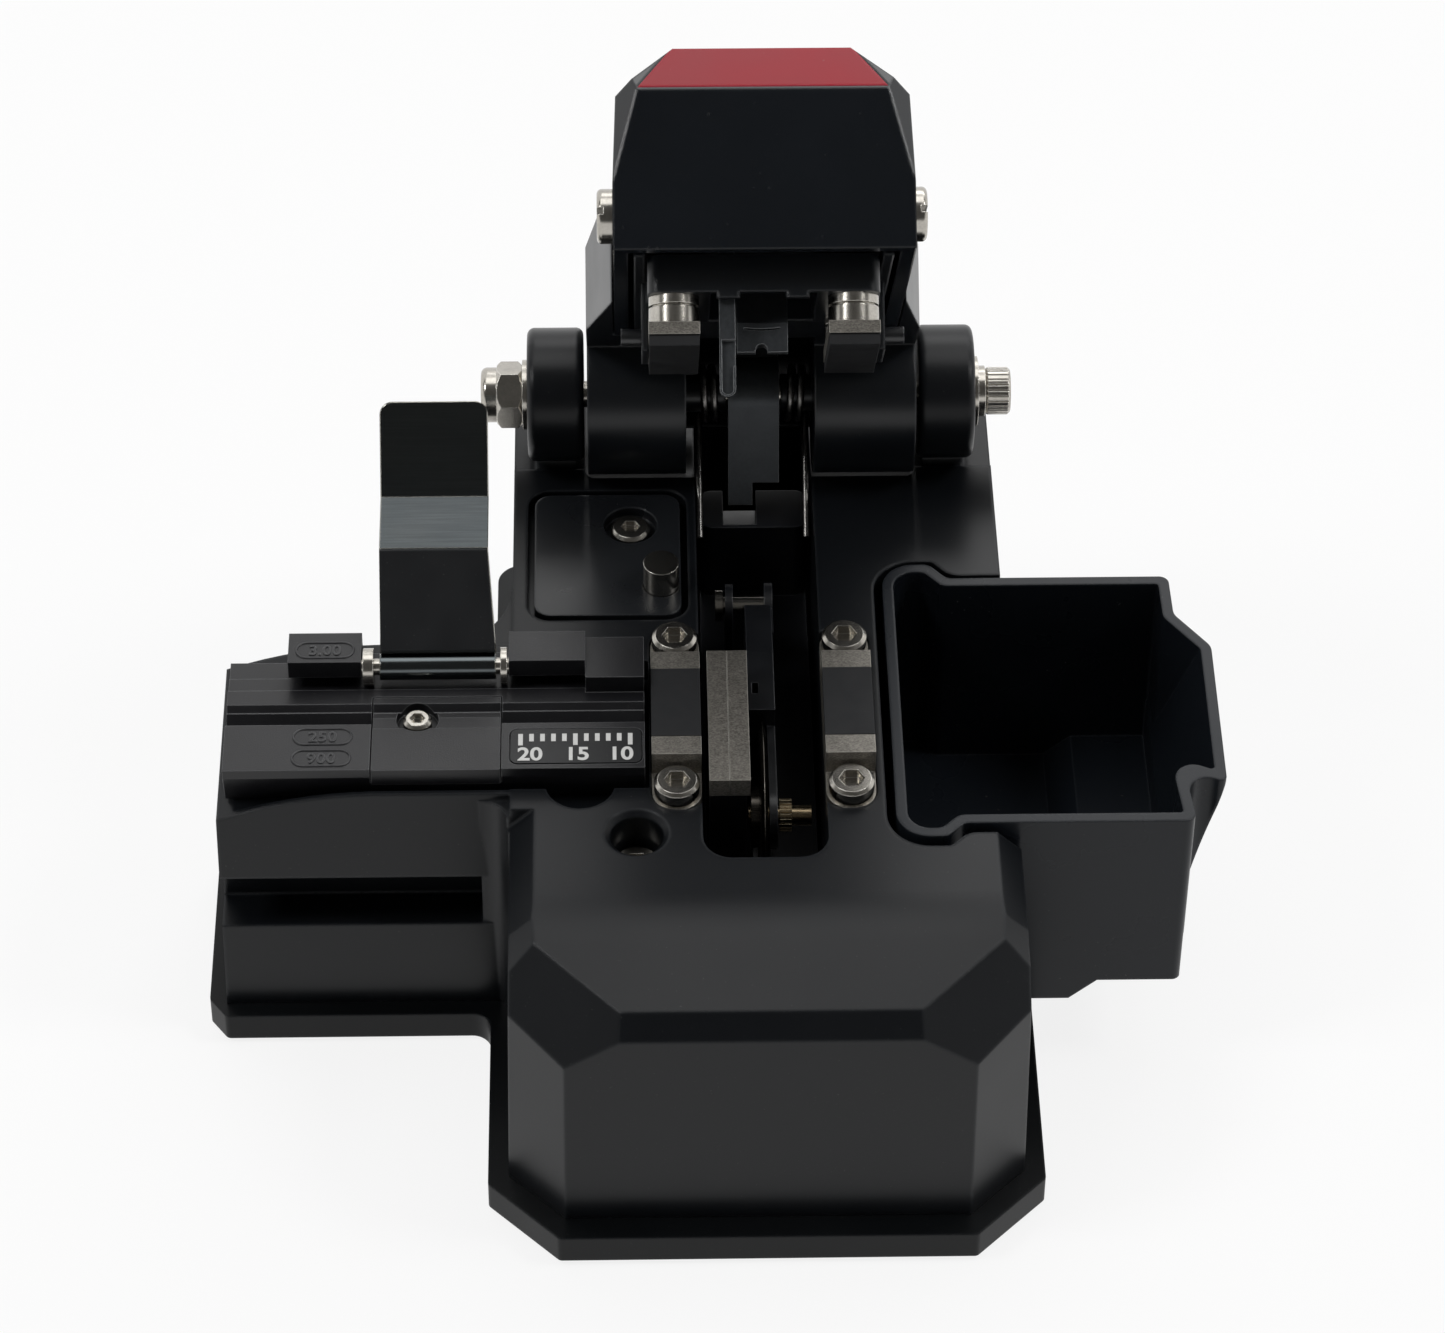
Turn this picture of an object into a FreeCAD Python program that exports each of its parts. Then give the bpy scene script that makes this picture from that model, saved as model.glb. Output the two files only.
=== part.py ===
# Precision fibre cleaver: a die-cast body on a flanged base, a slide with a round blade in its middle slot,
# a sprung lid over it, a fibre holder on the left wing and a lift-out bin for fibre ends on the right.
# Millimetres. X runs along the fibre (bin at +X), Y away from the user (hinge at +Y), Z up.
# X = 0 is the plane in which the blade cuts, Y = 0 is the fibre, Z = 0 is the table.
import FreeCAD
import Part
import math
import os

V = FreeCAD.Vector

# ---- base plate and feet
FOOT_PROUD = 0.6          # the rubber stands this far out of the base
FOOT_INSET = 0.8          # and is sunk this far into it
BASE_T = 3.0
BASE_HALF_W = 25.0
BASE_FRONT = 38.0
BASE_REAR = 49.6
BASE_CUT = 6.4
WING_BASE_END = 51.0
WING_BASE_FRONT = 11.1
WING_BASE_REAR = 13.0
WING_BASE_CUT = 2.2
BASE_Z0 = FOOT_PROUD
BASE_Z1 = FOOT_PROUD + BASE_T
FOOT_PADS = [(-15.0, 15.0, -29.0, 34.0), (-47.0, -29.0, -7.0, 9.5)]  # x from, x to, y from, y to
BASE_SCREWS = [(-19.0, -27.0), (19.0, -27.0), (-19.5, 38.5), (19.5, 38.5)]

# ---- body casting
DECK_Z = 30.5
BODY_HALF_W = 23.15
BODY_FRONT = 35.7
BODY_REAR = 47.2
BODY_CUT = 5.1
DRAFT = math.tan(math.radians(1.05))
SLOPE_START = 24.2        # the deck runs down towards the user from here
SLOPE_END = 33.4
SLOPE_DROP = 2.2
SLOPE_SOFT = 22.0         # radius where the deck turns into the slope
DECK_END = 34.1           # behind this the casting is a step lower
DECK_STEP = 0.6
EDGE_CHAMFER = 2.2
FACET_Z = DECK_Z - 6.9            # where the big corner facets meet the cut corners,
FACET_FRONT_X = 13.0      # the front bevel
FACET_BACK = (20.4, -26.8, DECK_Z - 0.7)  # and the side bevel
WING_END = 49.4
WING_FRONT = 9.5
WING_REAR = 10.8
WING_TOP = DECK_Z - 0.1
WING_DIP = 3.2            # the wing's top curves down over its last stretch
WING_DIP_LEN = 16.0
WING_REAR_R = 8.0
WING_FRONT_R = 2.6
GRIP_Z0 = 13.9            # finger recess along the wing
GRIP_Z1 = 20.0
GRIP_DEPTH = 4.2

# ---- slot, rail and slide
SLOT_HALF_W = 5.55
SLOT_FRONT = 17.2
SLOT_REAR = 45.2
SLOT_R = 2.6
SLOT_FLOOR = DECK_Z - 21.5
RAIL_W = 4.0
RAIL_H = 2.6
RAIL_Y0 = -15.0
RAIL_Y1 = 33.0
RAIL_PLAY = 0.08
RAIL_Z1 = SLOT_FLOOR + RAIL_H
RAIL_SCREWS = [-12.0, 3.0, 29.0]
SLIDE_Z = SLOT_FLOOR + 4.6  # underside of the slide block
SLIDE_TOP = SLIDE_Z + 4.4
GUARD_X0, GUARD_X1 = -4.9, -1.25
GUARD_Y0, GUARD_Y1 = -9.6, 7.0
GUARD_Z0, GUARD_Z1 = DECK_Z, DECK_Z + 1.95
ARM_X0, ARM_X1 = -1.15, 1.3
ARM_PIVOT = (20.0, DECK_Z - 4.7)
ARM_TOP = DECK_Z - 1.2
ARM_EAR_X0, ARM_EAR_X1 = 0.75, 1.5
PIVOT_R = 0.8
EAR_X0, EAR_X1 = -2.9, -2.2
TAIL_HALF_W = 5.1         # the block at the slide's end, pushed by the leaf
TAIL_Y0, TAIL_Y1 = 29.6, 34.8
TAIL_TOP = DECK_Z - 3.6
TAIL_R = 1.2
NOTCH_WALL = 0.4          # of that block, in front of the leaf's toe

# ---- what lies on the deck beside the slot
PLATE_X0, PLATE_X1, PLATE_Y0, PLATE_Y1 = -21.3, -SLOT_HALF_W - 0.85, 13.2, 31.0
PLATE_R = 2.2
PLATE_T = 1.6
PLATE_GROOVE = 0.65       # open line round the plate
PLATE_SCREW = (PLATE_X1 - 5.3, 26.1)
POST_AT = (PLATE_X1 - 2.5, 17.9)
DECK_HOLE = (-SLOT_HALF_W - 5.85, -14.0)

# ---- blade
BLADE_R = 8.5
BLADE_T = 0.6
BLADE_Y = -6.0
BLADE_Z = DECK_Z - 6.3
BLADE_BORE = 2.0

# ---- pads
PAD_Z = DECK_Z + 2.3              # plane in which the fibre is held
PAD_IN = 5.55
PAD_W = 4.45
PAD_HALF_L = 6.55
RUBBER_HALF_L = 4.3
RUBBER_T = 1.5
PAD_FOOT_Z = DECK_Z - 0.2
PAD_FLOOR = DECK_Z - 2.2
PAD_SCREW_FRONT = -8.9
PAD_SCREW_REAR = 9.65
PAD_SCREW_R = 2.05

# ---- hinge
HINGE_Y = 37.2
HINGE_Z = DECK_Z + 6.7
LUG_R = 6.3
LUG_FOOT_Y = 35.3
LUG_SOFT = 0.7
HINGE_X = -0.27           # the hinge hardware sits this far off the middle
LUG_X0 = 15.7
LUG_X1 = 21.0
AXLE_R = 1.25
AXLE_PLAY = 0.05
OPEN_DEG = 52.0
ARM_R = 7.6
ARM_GAP = 0.45            # round the lid's barrels, in the casting
CHEEK_X0 = 12.75
CHEEK_X1 = 15.35
BARREL_LEFT = -6.4
BARREL_RIGHT = 5.6
NOSE_R = 1.75
LEAF_HALF_W = 2.4
LEAF_SET = 33.0           # degrees that the leaf leans forward
LEAF_LONG = 7.8
SPRING_HALF_TURNS = 4
SPRING_PITCH, SPRING_R, SPRING_WIRE, SPRING_LEG, SPRING_X = 0.95, 2.45, 0.33, 12.8, 3.15
SPRING_TURN = 34.0
SPRING_SHIFT = -0.1

# ---- lid, in its closed place
LID_GAP = 0.15            # between the rubbers when the lid is shut
COVER_HALF_W = 13.0
COVER_FRONT = -10.8
COVER_REAR = 25.0
COVER_Z0 = HINGE_Z + 3.2
COVER_SHOULDER = COVER_Z0 + 14.1
COVER_TOP = COVER_SHOULDER + 4.3
COVER_TOP_HALF_W = 7.7
COVER_WALL = 1.3
CAP_REAR = 9.0
ARM_PLATE_Z0 = HINGE_Z + 4.6
RAIL_X0, RAIL_X1 = 10.3, 11.2
TONGUE_TOP = HINGE_Z + 10.0
NECK_TOP = HINGE_Z + 12.6
HOOD_R = 6.9              # hollow between the barrels, round the springs
SHOULDER_Y = 10.0         # of the cheeks beside the cover
SHOULDER_Z = HINGE_Z + 14.2
PIVOT_Y, PIVOT_Z = -2.0, HINGE_Z + 8.15  # of the cover's screws
BRACKET_Z0 = HINGE_Z + 0.4
BRACKET_Z1 = BRACKET_Z0 + 3.3
FINGER_Y = -5.6
FINGER_END = DECK_Z - 1.9

# ---- fibre holder and clamp
HOLD_X0 = -48.2
HOLD_X1 = -10.6
HOLD_FRONT = -7.9
HOLD_REAR = 7.2
HOLD_Z = DECK_Z + 2.0
HOLD_SEAT = DECK_Z - 2.5
LUGS_Z = HOLD_Z + 2.2
INSERT_X0, INSERT_X1 = -35.0, -23.5
INSERT_SEAT = HOLD_Z - 1.9
HOLD_SCREW = (-31.0, -1.1)
SCALE_X0, SCALE_X1, SCALE_Y0, SCALE_Y1 = -22.6, -10.9, -7.3, -3.0
CLAMP_Y = 4.3
CLAMP_Z = HOLD_Z + 0.9
CLAMP_PIN_R = 0.75
CURL_R = 1.2              # the plate's curl round the pin
CLAMP_T = 0.5
CLAMP_FLAT = 10.7
CLAMP_RAMP = 4.45
CLAMP_RISE = 4.2
CLAMP_TAB = 8.7
CLAMP_LEAN = 40.0         # the open clamp leans back this far from upright
CLAMP_X0 = -34.45
CLAMP_X1 = -24.6
CLAMP_FLARE = 0.65        # the plate is this much wider on its right, near the pin

# ---- bin
RIM_Z = DECK_Z + 0.4
BIN_BOTTOM = 7.7
BIN_STEP_Z = 10.1
BIN_WALL = 1.0
BIN_PLAY = 0.8            # all round, in the body's pocket
BIN_POINTS = [(11.6, -15.2), (16.0, -15.2), (17.6, -13.6), (38.2, -13.6), (37.6, -7.2), (41.3, -8.9),
              (41.4, 8.6), (38.3, 12.9), (38.2, 18.0), (17.6, 18.0), (16.0, 19.9), (11.6, 19.9)]
BIN_RADII = [3.0, 1.2, 1.2, 0.8, 1.7, 0.5, 1.8, 1.6, 0.9, 1.2, 1.2, 3.0]
BIN_CONVEX = [True, False, False, True, False, True, True, False, True, False, False, True]
BIN_LEAN = 0.22           # the outer wall leans in by this share of its height
BIN_UPRIGHT_X = 38.05     # and stands upright from here down


# ---------------------------------------------------------------- helpers
def box(x0, x1, y0, y1, z0, z1):
    return Part.makeBox(x1 - x0, y1 - y0, z1 - z0, V(x0, y0, z0))


def rod(start, axis, radius, length):
    return Part.makeCylinder(radius, length, V(*start), V(*axis))


def rod_x(x0, x1, y, z, radius):
    return rod((x0, y, z), (1, 0, 0), radius, x1 - x0)


def rod_z(x, y, z0, z1, radius):
    return rod((x, y, z0), (0, 0, 1), radius, z1 - z0)


def prism(points, axis, start, end):
    """A straight-sided solid: points lie in the plane across the axis, in (y, z), (x, z) or (x, y)."""
    place = {"x": lambda a, b: V(start, a, b), "y": lambda a, b: V(a, start, b),
             "z": lambda a, b: V(a, b, start)}
    wire = Part.makePolygon([place[axis](a, b) for a, b in points + points[:1]])
    step = {"x": V(1, 0, 0), "y": V(0, 1, 0), "z": V(0, 0, 1)}[axis]
    return Part.Face(wire).extrude(step * (end - start))


def inset(points, distance):
    """Moves every side of a counter-clockwise outline inwards."""
    moved = []
    for i, here in enumerate(points):
        before, after = points[i - 1], points[(i + 1) % len(points)]
        ax, ay = here[0] - before[0], here[1] - before[1]
        bx, by = after[0] - here[0], after[1] - here[1]
        la, lb = math.hypot(ax, ay), math.hypot(bx, by)
        nax, nay, nbx, nby = -ay / la, ax / la, -by / lb, bx / lb
        share = distance / (1 + nax * nbx + nay * nby)
        moved.append((here[0] + (nax + nbx) * share, here[1] + (nay + nby) * share))
    return moved


def rounded_wire(points, radii, z):
    """A closed outline at height z with an arc at each corner that has a radius."""
    starts, arcs = [], []
    for i, here in enumerate(points):
        p = V(here[0], here[1], z)
        before = V(points[i - 1][0], points[i - 1][1], z) - p
        nxt = points[(i + 1) % len(points)]
        after = V(nxt[0], nxt[1], z) - p
        before.normalize()
        after.normalize()
        half = before.getAngle(after) / 2
        reach = radii[i] / math.tan(half)
        mid = before + after
        mid.normalize()
        first, last = p + before * reach, p + after * reach
        middle = p + mid * (radii[i] / math.sin(half) - radii[i])
        starts.append((first, last))
        arcs.append(Part.Arc(first, middle, last).toShape())
    edges = []
    for i, arc in enumerate(arcs):
        edges.append(arc)
        edges.append(Part.LineSegment(starts[i][1], starts[(i + 1) % len(starts)][0]).toShape())
    return Part.Wire(edges)


def rounded_prism(points, radii, z0, z1):
    return Part.Face(rounded_wire(points, radii, z0)).extrude(V(0, 0, z1 - z0))


def rounded_box(x0, x1, y0, y1, z0, z1, radius):
    corners = [(x0, y0), (x1, y0), (x1, y1), (x0, y1)]
    return rounded_prism(corners, [radius] * 4, z0, z1)


def drafted(points, z0, z1):
    """A casting's wall: the outline shrinks on the way up."""
    rings = []
    for z in (z0, z1):
        ring = inset(points, (z - z0) * DRAFT)
        rings.append(Part.makePolygon([V(x, y, z) for x, y in ring + ring[:1]]))
    return Part.makeLoft(rings, True, True)


def half_space(point, normal, size=60.0):
    """A block that fills everything on the normal's side of a plane."""
    block = Part.makeBox(size, size, size, V(-size / 2, -size / 2, 0))
    block.Placement = FreeCAD.Placement(V(*point), FreeCAD.Rotation(V(0, 0, 1), V(*normal)))
    return block


def mirror_x(shape):
    return shape.mirror(V(0, 0, 0), V(1, 0, 0))


def both_sides(shape):
    return [shape, mirror_x(shape)]


def fuse(shapes):
    return shapes[0].fuse(shapes[1:]).removeSplitter()


def opened(shape):
    """Turns a piece of the lid from its closed place to the open one."""
    turned = shape.copy()
    turned.rotate(V(0, HINGE_Y, HINGE_Z), V(1, 0, 0), -OPEN_DEG)
    return turned


def hex_prism(centre, axis, flats, length, turn=0.0):
    corner = flats / math.sqrt(3)
    ring = [V(corner * math.cos(a), corner * math.sin(a), 0)
            for a in (math.radians(60 * i + turn) for i in range(7))]
    solid = Part.Face(Part.makePolygon(ring)).extrude(V(0, 0, length))
    solid.Placement = FreeCAD.Placement(V(*centre), FreeCAD.Rotation(V(0, 0, 1), V(*axis)))
    return solid


def socket_screw(x, y, top, head_r, head_h, shank_r, shank_l, socket):
    """Cap screw standing upright: chamfered head with a hexagon socket, plain shank."""
    profile = [V(0, 0, top - head_h), V(head_r, 0, top - head_h), V(head_r, 0, top - 0.3),
               V(head_r - 0.3, 0, top), V(0, 0, top), V(0, 0, top - head_h)]
    head = Part.Face(Part.makePolygon(profile)).revolve(V(0, 0, 0), V(0, 0, 1), 360)
    head.translate(V(x, y, 0))
    shank = rod_z(x, y, top - head_h - shank_l, top - head_h, shank_r)
    well = hex_prism((x, y, top - head_h * 0.6), (0, 0, 1), socket, head_h)
    return head.fuse(shank).cut(well)


def save(name, shapes):
    shape = shapes if isinstance(shapes, Part.Shape) else Part.makeCompound(shapes)
    shape.exportStep("parts/" + name + ".step")
    print(name, len(shape.Solids), round(shape.Volume, 1), shape.isValid())


# ---------------------------------------------------------------- base
def base_outline():
    return [(-BASE_HALF_W + BASE_CUT, -BASE_FRONT), (BASE_HALF_W - BASE_CUT, -BASE_FRONT),
            (BASE_HALF_W, -BASE_FRONT + BASE_CUT), (BASE_HALF_W, BASE_REAR), (-BASE_HALF_W, BASE_REAR),
            (-BASE_HALF_W, WING_BASE_REAR), (-WING_BASE_END, WING_BASE_REAR),
            (-WING_BASE_END, -WING_BASE_FRONT + WING_BASE_CUT), (-WING_BASE_END + 1.6, -WING_BASE_FRONT),
            (-BASE_HALF_W, -WING_BASE_FRONT), (-BASE_HALF_W, -BASE_FRONT + BASE_CUT)]


def base_plate():
    radii = [0.6, 0.6, 0.6, 2.5, 2.5, 2.5, 2.5, 0.6, 0.6, 1.8, 0.6]
    plate = rounded_prism(base_outline(), radii, BASE_Z0, BASE_Z1)
    for x0, x1, y0, y1 in FOOT_PADS:
        plate = plate.cut(rounded_box(x0, x1, y0, y1, 0, BASE_Z0 + FOOT_INSET, 2.5))
    for x, y in BASE_SCREWS:
        plate = plate.cut(rod_z(x, y, BASE_Z0, BASE_Z1, 1.3))
        plate = plate.cut(rod_z(x, y, 0, BASE_Z0 + 1.5, 2.4))
    return plate


def rubber_feet():
    return [rounded_box(x0 + 0.15, x1 - 0.15, y0 + 0.15, y1 - 0.15, 0, BASE_Z0 + FOOT_INSET, 2.3)
            for x0, x1, y0, y1 in FOOT_PADS]


def base_screws():
    screws = []
    for x, y in BASE_SCREWS:
        head = rod_z(x, y, BASE_Z0 + 0.1, BASE_Z0 + 1.5, 2.1)
        shank = rod_z(x, y, BASE_Z0 + 1.5, BASE_Z1 + 5.0, 1.15)
        well = hex_prism((x, y, BASE_Z0), (0, 0, 1), 1.5, 0.9)
        screws.append(head.fuse(shank).cut(well))
    return screws


# ---------------------------------------------------------------- body casting
def body_outline():
    return [(-BODY_HALF_W + BODY_CUT, -BODY_FRONT), (BODY_HALF_W - BODY_CUT, -BODY_FRONT),
            (BODY_HALF_W, -BODY_FRONT + BODY_CUT), (BODY_HALF_W, BODY_REAR - 2.0),
            (BODY_HALF_W - 2.0, BODY_REAR), (-BODY_HALF_W + 2.0, BODY_REAR),
            (-BODY_HALF_W, BODY_REAR - 2.0), (-BODY_HALF_W, -BODY_FRONT + BODY_CUT)]


def wing_block():
    outline = [(-WING_END, -WING_FRONT), (-BODY_HALF_W + 4, -WING_FRONT), (-BODY_HALF_W + 4, WING_REAR),
               (-WING_END, WING_REAR)]
    block = drafted(outline, BASE_Z1, WING_TOP)
    start, low = V(-WING_END + WING_DIP_LEN, 0, WING_TOP), V(-WING_END, 0, WING_TOP - WING_DIP)
    bend = Part.Arc(start, V(-WING_END + WING_DIP_LEN * 0.42, 0, WING_TOP - WING_DIP * 0.3), low).toShape()
    rest = Part.makePolygon([low, low + V(-5, 0, -1.6), low + V(-5, 0, 9), start + V(0, 0, 5), start])
    dip = Part.Face(Part.Wire([bend] + rest.Edges)).extrude(V(0, 60, 0))
    dip.translate(V(0, -30, 0))
    grip = box(-WING_END - 1, -BODY_HALF_W + 1, -WING_FRONT - 5, -WING_FRONT + GRIP_DEPTH, GRIP_Z0, GRIP_Z1)
    return block.cut(dip).cut(grip)


def wing_fillets():
    """Concave sweeps between the wing's two long walls and the side of the body."""
    side = -BODY_HALF_W + 0.3
    sweeps = []
    for edge, out, r in ((WING_REAR - 0.4, 1, WING_REAR_R), (-WING_FRONT + 0.4, -1, WING_FRONT_R)):
        y0, y1 = sorted((edge - out * 2, edge + out * r))
        corner = box(side - r, side + 2, y0, y1, BASE_Z1, WING_TOP - 0.8)
        sweeps.append(corner.cut(rod_z(side - r, edge + out * r, BASE_Z1, WING_TOP, r)))
    return sweeps


def front_top_cut():
    """Deck slope and the bevel over the front wall."""
    profile = [(-SLOPE_START, DECK_Z), (-SLOPE_END, DECK_Z - SLOPE_DROP),
               (-SLOPE_END - 4, DECK_Z - SLOPE_DROP - 4), (-BODY_FRONT - 10, DECK_Z - 8),
               (-BODY_FRONT - 10, DECK_Z + 10), (-SLOPE_START, DECK_Z + 10)]
    return prism(profile, "x", -40, 40)


def side_bevel(side, y_from):
    """Bevel along the deck's side edge: level at first, then following the slope."""
    top_x = BODY_HALF_W - (DECK_Z - BASE_Z1) * DRAFT - EDGE_CHAMFER
    slope = SLOPE_DROP / (SLOPE_END - SLOPE_START)

    def section(y):
        z = DECK_Z - max(0.0, -y - SLOPE_START) * slope
        corners = [(top_x, z), (top_x + 6, z - 6), (top_x + 6, z + 6), (top_x, z + 6)]
        return Part.makePolygon([V(side * x, y, zz) for x, zz in corners + corners[:1]])
    level = Part.makeLoft([section(y_from), section(-SLOPE_START)], True, True)
    falling = Part.makeLoft([section(-SLOPE_START), section(-BODY_FRONT - 5)], True, True)
    return [level, falling]


def corner_facet(side):
    """Plane that takes off the corner between front wall, side wall and deck."""
    low = V(side * (BODY_HALF_W - BODY_CUT / 2), -BODY_FRONT + BODY_CUT / 2, FACET_Z)
    front = V(side * FACET_FRONT_X, -SLOPE_END, DECK_Z - SLOPE_DROP)
    back = V(side * FACET_BACK[0], FACET_BACK[1], FACET_BACK[2])
    normal = (front - low).cross(back - low)
    if normal.z < 0:
        normal = normal * -1
    return half_space(tuple(low), tuple(normal))


def hinge_lug(side):
    """Round boss on a narrower foot, softened rims, a hollow sweep where the foot meets the casting."""
    x0, x1 = sorted((side * LUG_X0 + HINGE_X, side * LUG_X1 + HINGE_X))
    boss = rod_x(x0, x1, HINGE_Y, HINGE_Z, LUG_R)
    boss = boss.makeFillet(LUG_SOFT, [e for e in boss.Edges if abs(e.Length - 2 * math.pi * LUG_R) < 0.01])
    floor = DECK_Z - DECK_STEP
    foot = box(x0 + LUG_SOFT, x1 - LUG_SOFT, LUG_FOOT_Y, HINGE_Y + LUG_R - 1, DECK_Z - 6, HINGE_Z)
    sweep = 1.1
    corner = box(x0 + LUG_SOFT, x1 - LUG_SOFT, LUG_FOOT_Y - sweep, LUG_FOOT_Y + 1, floor - 1, floor + sweep)
    corner = corner.cut(rod_x(x0, x1, LUG_FOOT_Y - sweep, floor + sweep, sweep))
    bore = rod_x(x0, x1, HINGE_Y, HINGE_Z, AXLE_R + AXLE_PLAY)
    return fuse([boss, foot, corner]).cut(bore)


def deck_pockets():
    cuts = [rounded_box(-SLOT_HALF_W, SLOT_HALF_W, -SLOT_FRONT, SLOT_REAR, SLOT_FLOOR, DECK_Z + 1, SLOT_R)]
    cuts.append(rounded_box(PLATE_X0, PLATE_X1, PLATE_Y0, PLATE_Y1, DECK_Z - PLATE_T, DECK_Z + 1, PLATE_R))
    cuts.append(rod_z(PLATE_SCREW[0], PLATE_SCREW[1], DECK_Z - 9, DECK_Z, 1.15))
    cuts.append(rod_z(POST_AT[0], POST_AT[1], DECK_Z - 6, DECK_Z, 1.2))
    cuts.append(rod_z(DECK_HOLE[0], DECK_HOLE[1], DECK_Z - 6, DECK_Z + 1, 2.4))
    cuts.append(rod_z(DECK_HOLE[0], DECK_HOLE[1], DECK_Z - 10.5, DECK_Z - 6, 1.22))
    cuts.append(Part.makeCone(2.4, 2.95, 0.55, V(DECK_HOLE[0], DECK_HOLE[1], DECK_Z - 0.5)))
    for side in (-1, 1):
        x0, x1 = sorted((side * (SLOT_HALF_W - 0.5), side * (PAD_IN + PAD_W + 0.1)))
        front = PAD_SCREW_FRONT - PAD_W / 2 - 0.1
        rear = PAD_SCREW_REAR + PAD_W / 2 + 0.1
        cuts.append(rounded_box(x0, x1, front, rear, PAD_FLOOR, DECK_Z + 1, PAD_W / 2))
        for y in (PAD_SCREW_FRONT, PAD_SCREW_REAR):
            cuts.append(rod_z(side * (PAD_IN + PAD_W / 2), y, PAD_FLOOR - 6, PAD_FLOOR, 0.95))
    return cuts


def holder_pocket():
    """Channel across the wing and the deck for the fibre holder, with the thumb notch in its front lip."""
    channel = box(-WING_END - 1, HOLD_X1 + 0.4, HOLD_FRONT - 0.6, HOLD_REAR + 0.6, HOLD_SEAT, DECK_Z + 1)
    notch = rod_z(-16.4, HOLD_FRONT, HOLD_SEAT, DECK_Z + 1, 3.1)
    return [channel, notch]


def lid_relief():
    """Room for the lid's barrels to turn in, between the lugs, with rounded corners at the front."""
    radius = ARM_R + ARM_GAP
    half = LUG_X0
    front = HINGE_Y - math.sqrt(radius ** 2 - (HINGE_Z - DECK_Z) ** 2)
    low = HINGE_Z - radius
    mask = rounded_box(HINGE_X - half, HINGE_X + half, front - 0.2, BODY_REAR + 9, low - 1, DECK_Z + 5, 1.5)
    round_part = rod_x(HINGE_X - half, HINGE_X + half, HINGE_Y, HINGE_Z, radius).common(mask)
    return [round_part, box(HINGE_X - half, HINGE_X + half, HINGE_Y, BODY_REAR + 5, low, DECK_Z + 5)]


def main_housing():
    body = drafted(body_outline(), BASE_Z1, DECK_Z).cut(front_top_cut())
    crest = [edge for edge in body.Edges
             if all(abs(v.Y + SLOPE_START) < 0.01 and abs(v.Z - DECK_Z) < 0.01 for v in edge.Vertexes)]
    body = body.makeFillet(SLOPE_SOFT, crest)
    body = fuse([body, wing_block()] + wing_fillets())
    body = body.cut(side_bevel(-1, -WING_FRONT - 1.5) + side_bevel(1, 0))
    body = body.cut([corner_facet(-1), corner_facet(1)])
    body = body.cut(box(-40, 40, DECK_END, BODY_REAR + 5, DECK_Z - DECK_STEP, DECK_Z + 5))
    body = body.cut(bin_pocket())
    body = body.cut(deck_pockets() + holder_pocket() + lid_relief())
    body = fuse([body, hinge_lug(-1), hinge_lug(1)])
    for x, y in BASE_SCREWS:
        body = body.cut(rod_z(x, y, BASE_Z1, BASE_Z1 + 5.2, 1.15))
    return body


def housing_screw():
    x, y = DECK_HOLE
    return socket_screw(x, y, DECK_Z - 3.8, 2.2, 2.2, 1.2, 4.0, 2.0)


def deck_plate():
    plate = rounded_box(PLATE_X0 + PLATE_GROOVE, PLATE_X1 - PLATE_GROOVE, PLATE_Y0 + PLATE_GROOVE,
                        PLATE_Y1 - PLATE_GROOVE, DECK_Z - PLATE_T, DECK_Z, PLATE_R - PLATE_GROOVE)
    plate = plate.cut(rod_z(PLATE_SCREW[0], PLATE_SCREW[1], DECK_Z - 1.15, DECK_Z, 2.5))
    plate = plate.cut(rod_z(PLATE_SCREW[0], PLATE_SCREW[1], DECK_Z - PLATE_T, DECK_Z, 1.2))
    return plate.cut(rod_z(POST_AT[0], POST_AT[1], DECK_Z - PLATE_T, DECK_Z, 1.7))


def deck_plate_screw():
    return socket_screw(PLATE_SCREW[0], PLATE_SCREW[1], DECK_Z - 0.15, 1.85, 1.0, 1.1, 7.0, 1.5)


def lid_stop_post():
    x, y = POST_AT
    seat = DECK_Z - PLATE_T
    return rod_z(x, y, seat, DECK_Z + 2.8, 1.65).fuse(rod_z(x, y, DECK_Z - 6, seat, 1.15))


# ---------------------------------------------------------------- lower pads
def pad_block(side):
    x0, x1 = sorted((side * PAD_IN, side * (PAD_IN + PAD_W)))
    xc = (x0 + x1) / 2
    front = PAD_SCREW_FRONT - PAD_W / 2
    rear = PAD_SCREW_REAR + PAD_W / 2
    foot = rounded_box(x0, x1, front, rear, PAD_FLOOR, PAD_FOOT_Z, PAD_W / 2 - 0.01)
    block = foot.fuse(box(x0, x1, -PAD_HALF_L, PAD_HALF_L, PAD_FLOOR, PAD_Z))
    block = block.cut(box(x0, x1, -RUBBER_HALF_L, RUBBER_HALF_L, PAD_Z - RUBBER_T, PAD_Z))
    for y in (PAD_SCREW_FRONT, PAD_SCREW_REAR):
        block = block.cut(rod_z(xc, y, PAD_FLOOR, PAD_FOOT_Z, 1.0))
    return block.removeSplitter()


def pad_rubber(side):
    x0, x1 = sorted((side * PAD_IN, side * (PAD_IN + PAD_W)))
    return box(x0, x1, -RUBBER_HALF_L, RUBBER_HALF_L, PAD_Z - RUBBER_T, PAD_Z + 0.05)


def lower_pad_screws():
    top = PAD_FOOT_Z + 1.65
    return [socket_screw(side * (PAD_IN + PAD_W / 2), y, top, PAD_SCREW_R, 1.65, 0.9, 7.0, 2.0)
            for side in (-1, 1) for y in (PAD_SCREW_FRONT, PAD_SCREW_REAR)]


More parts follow.
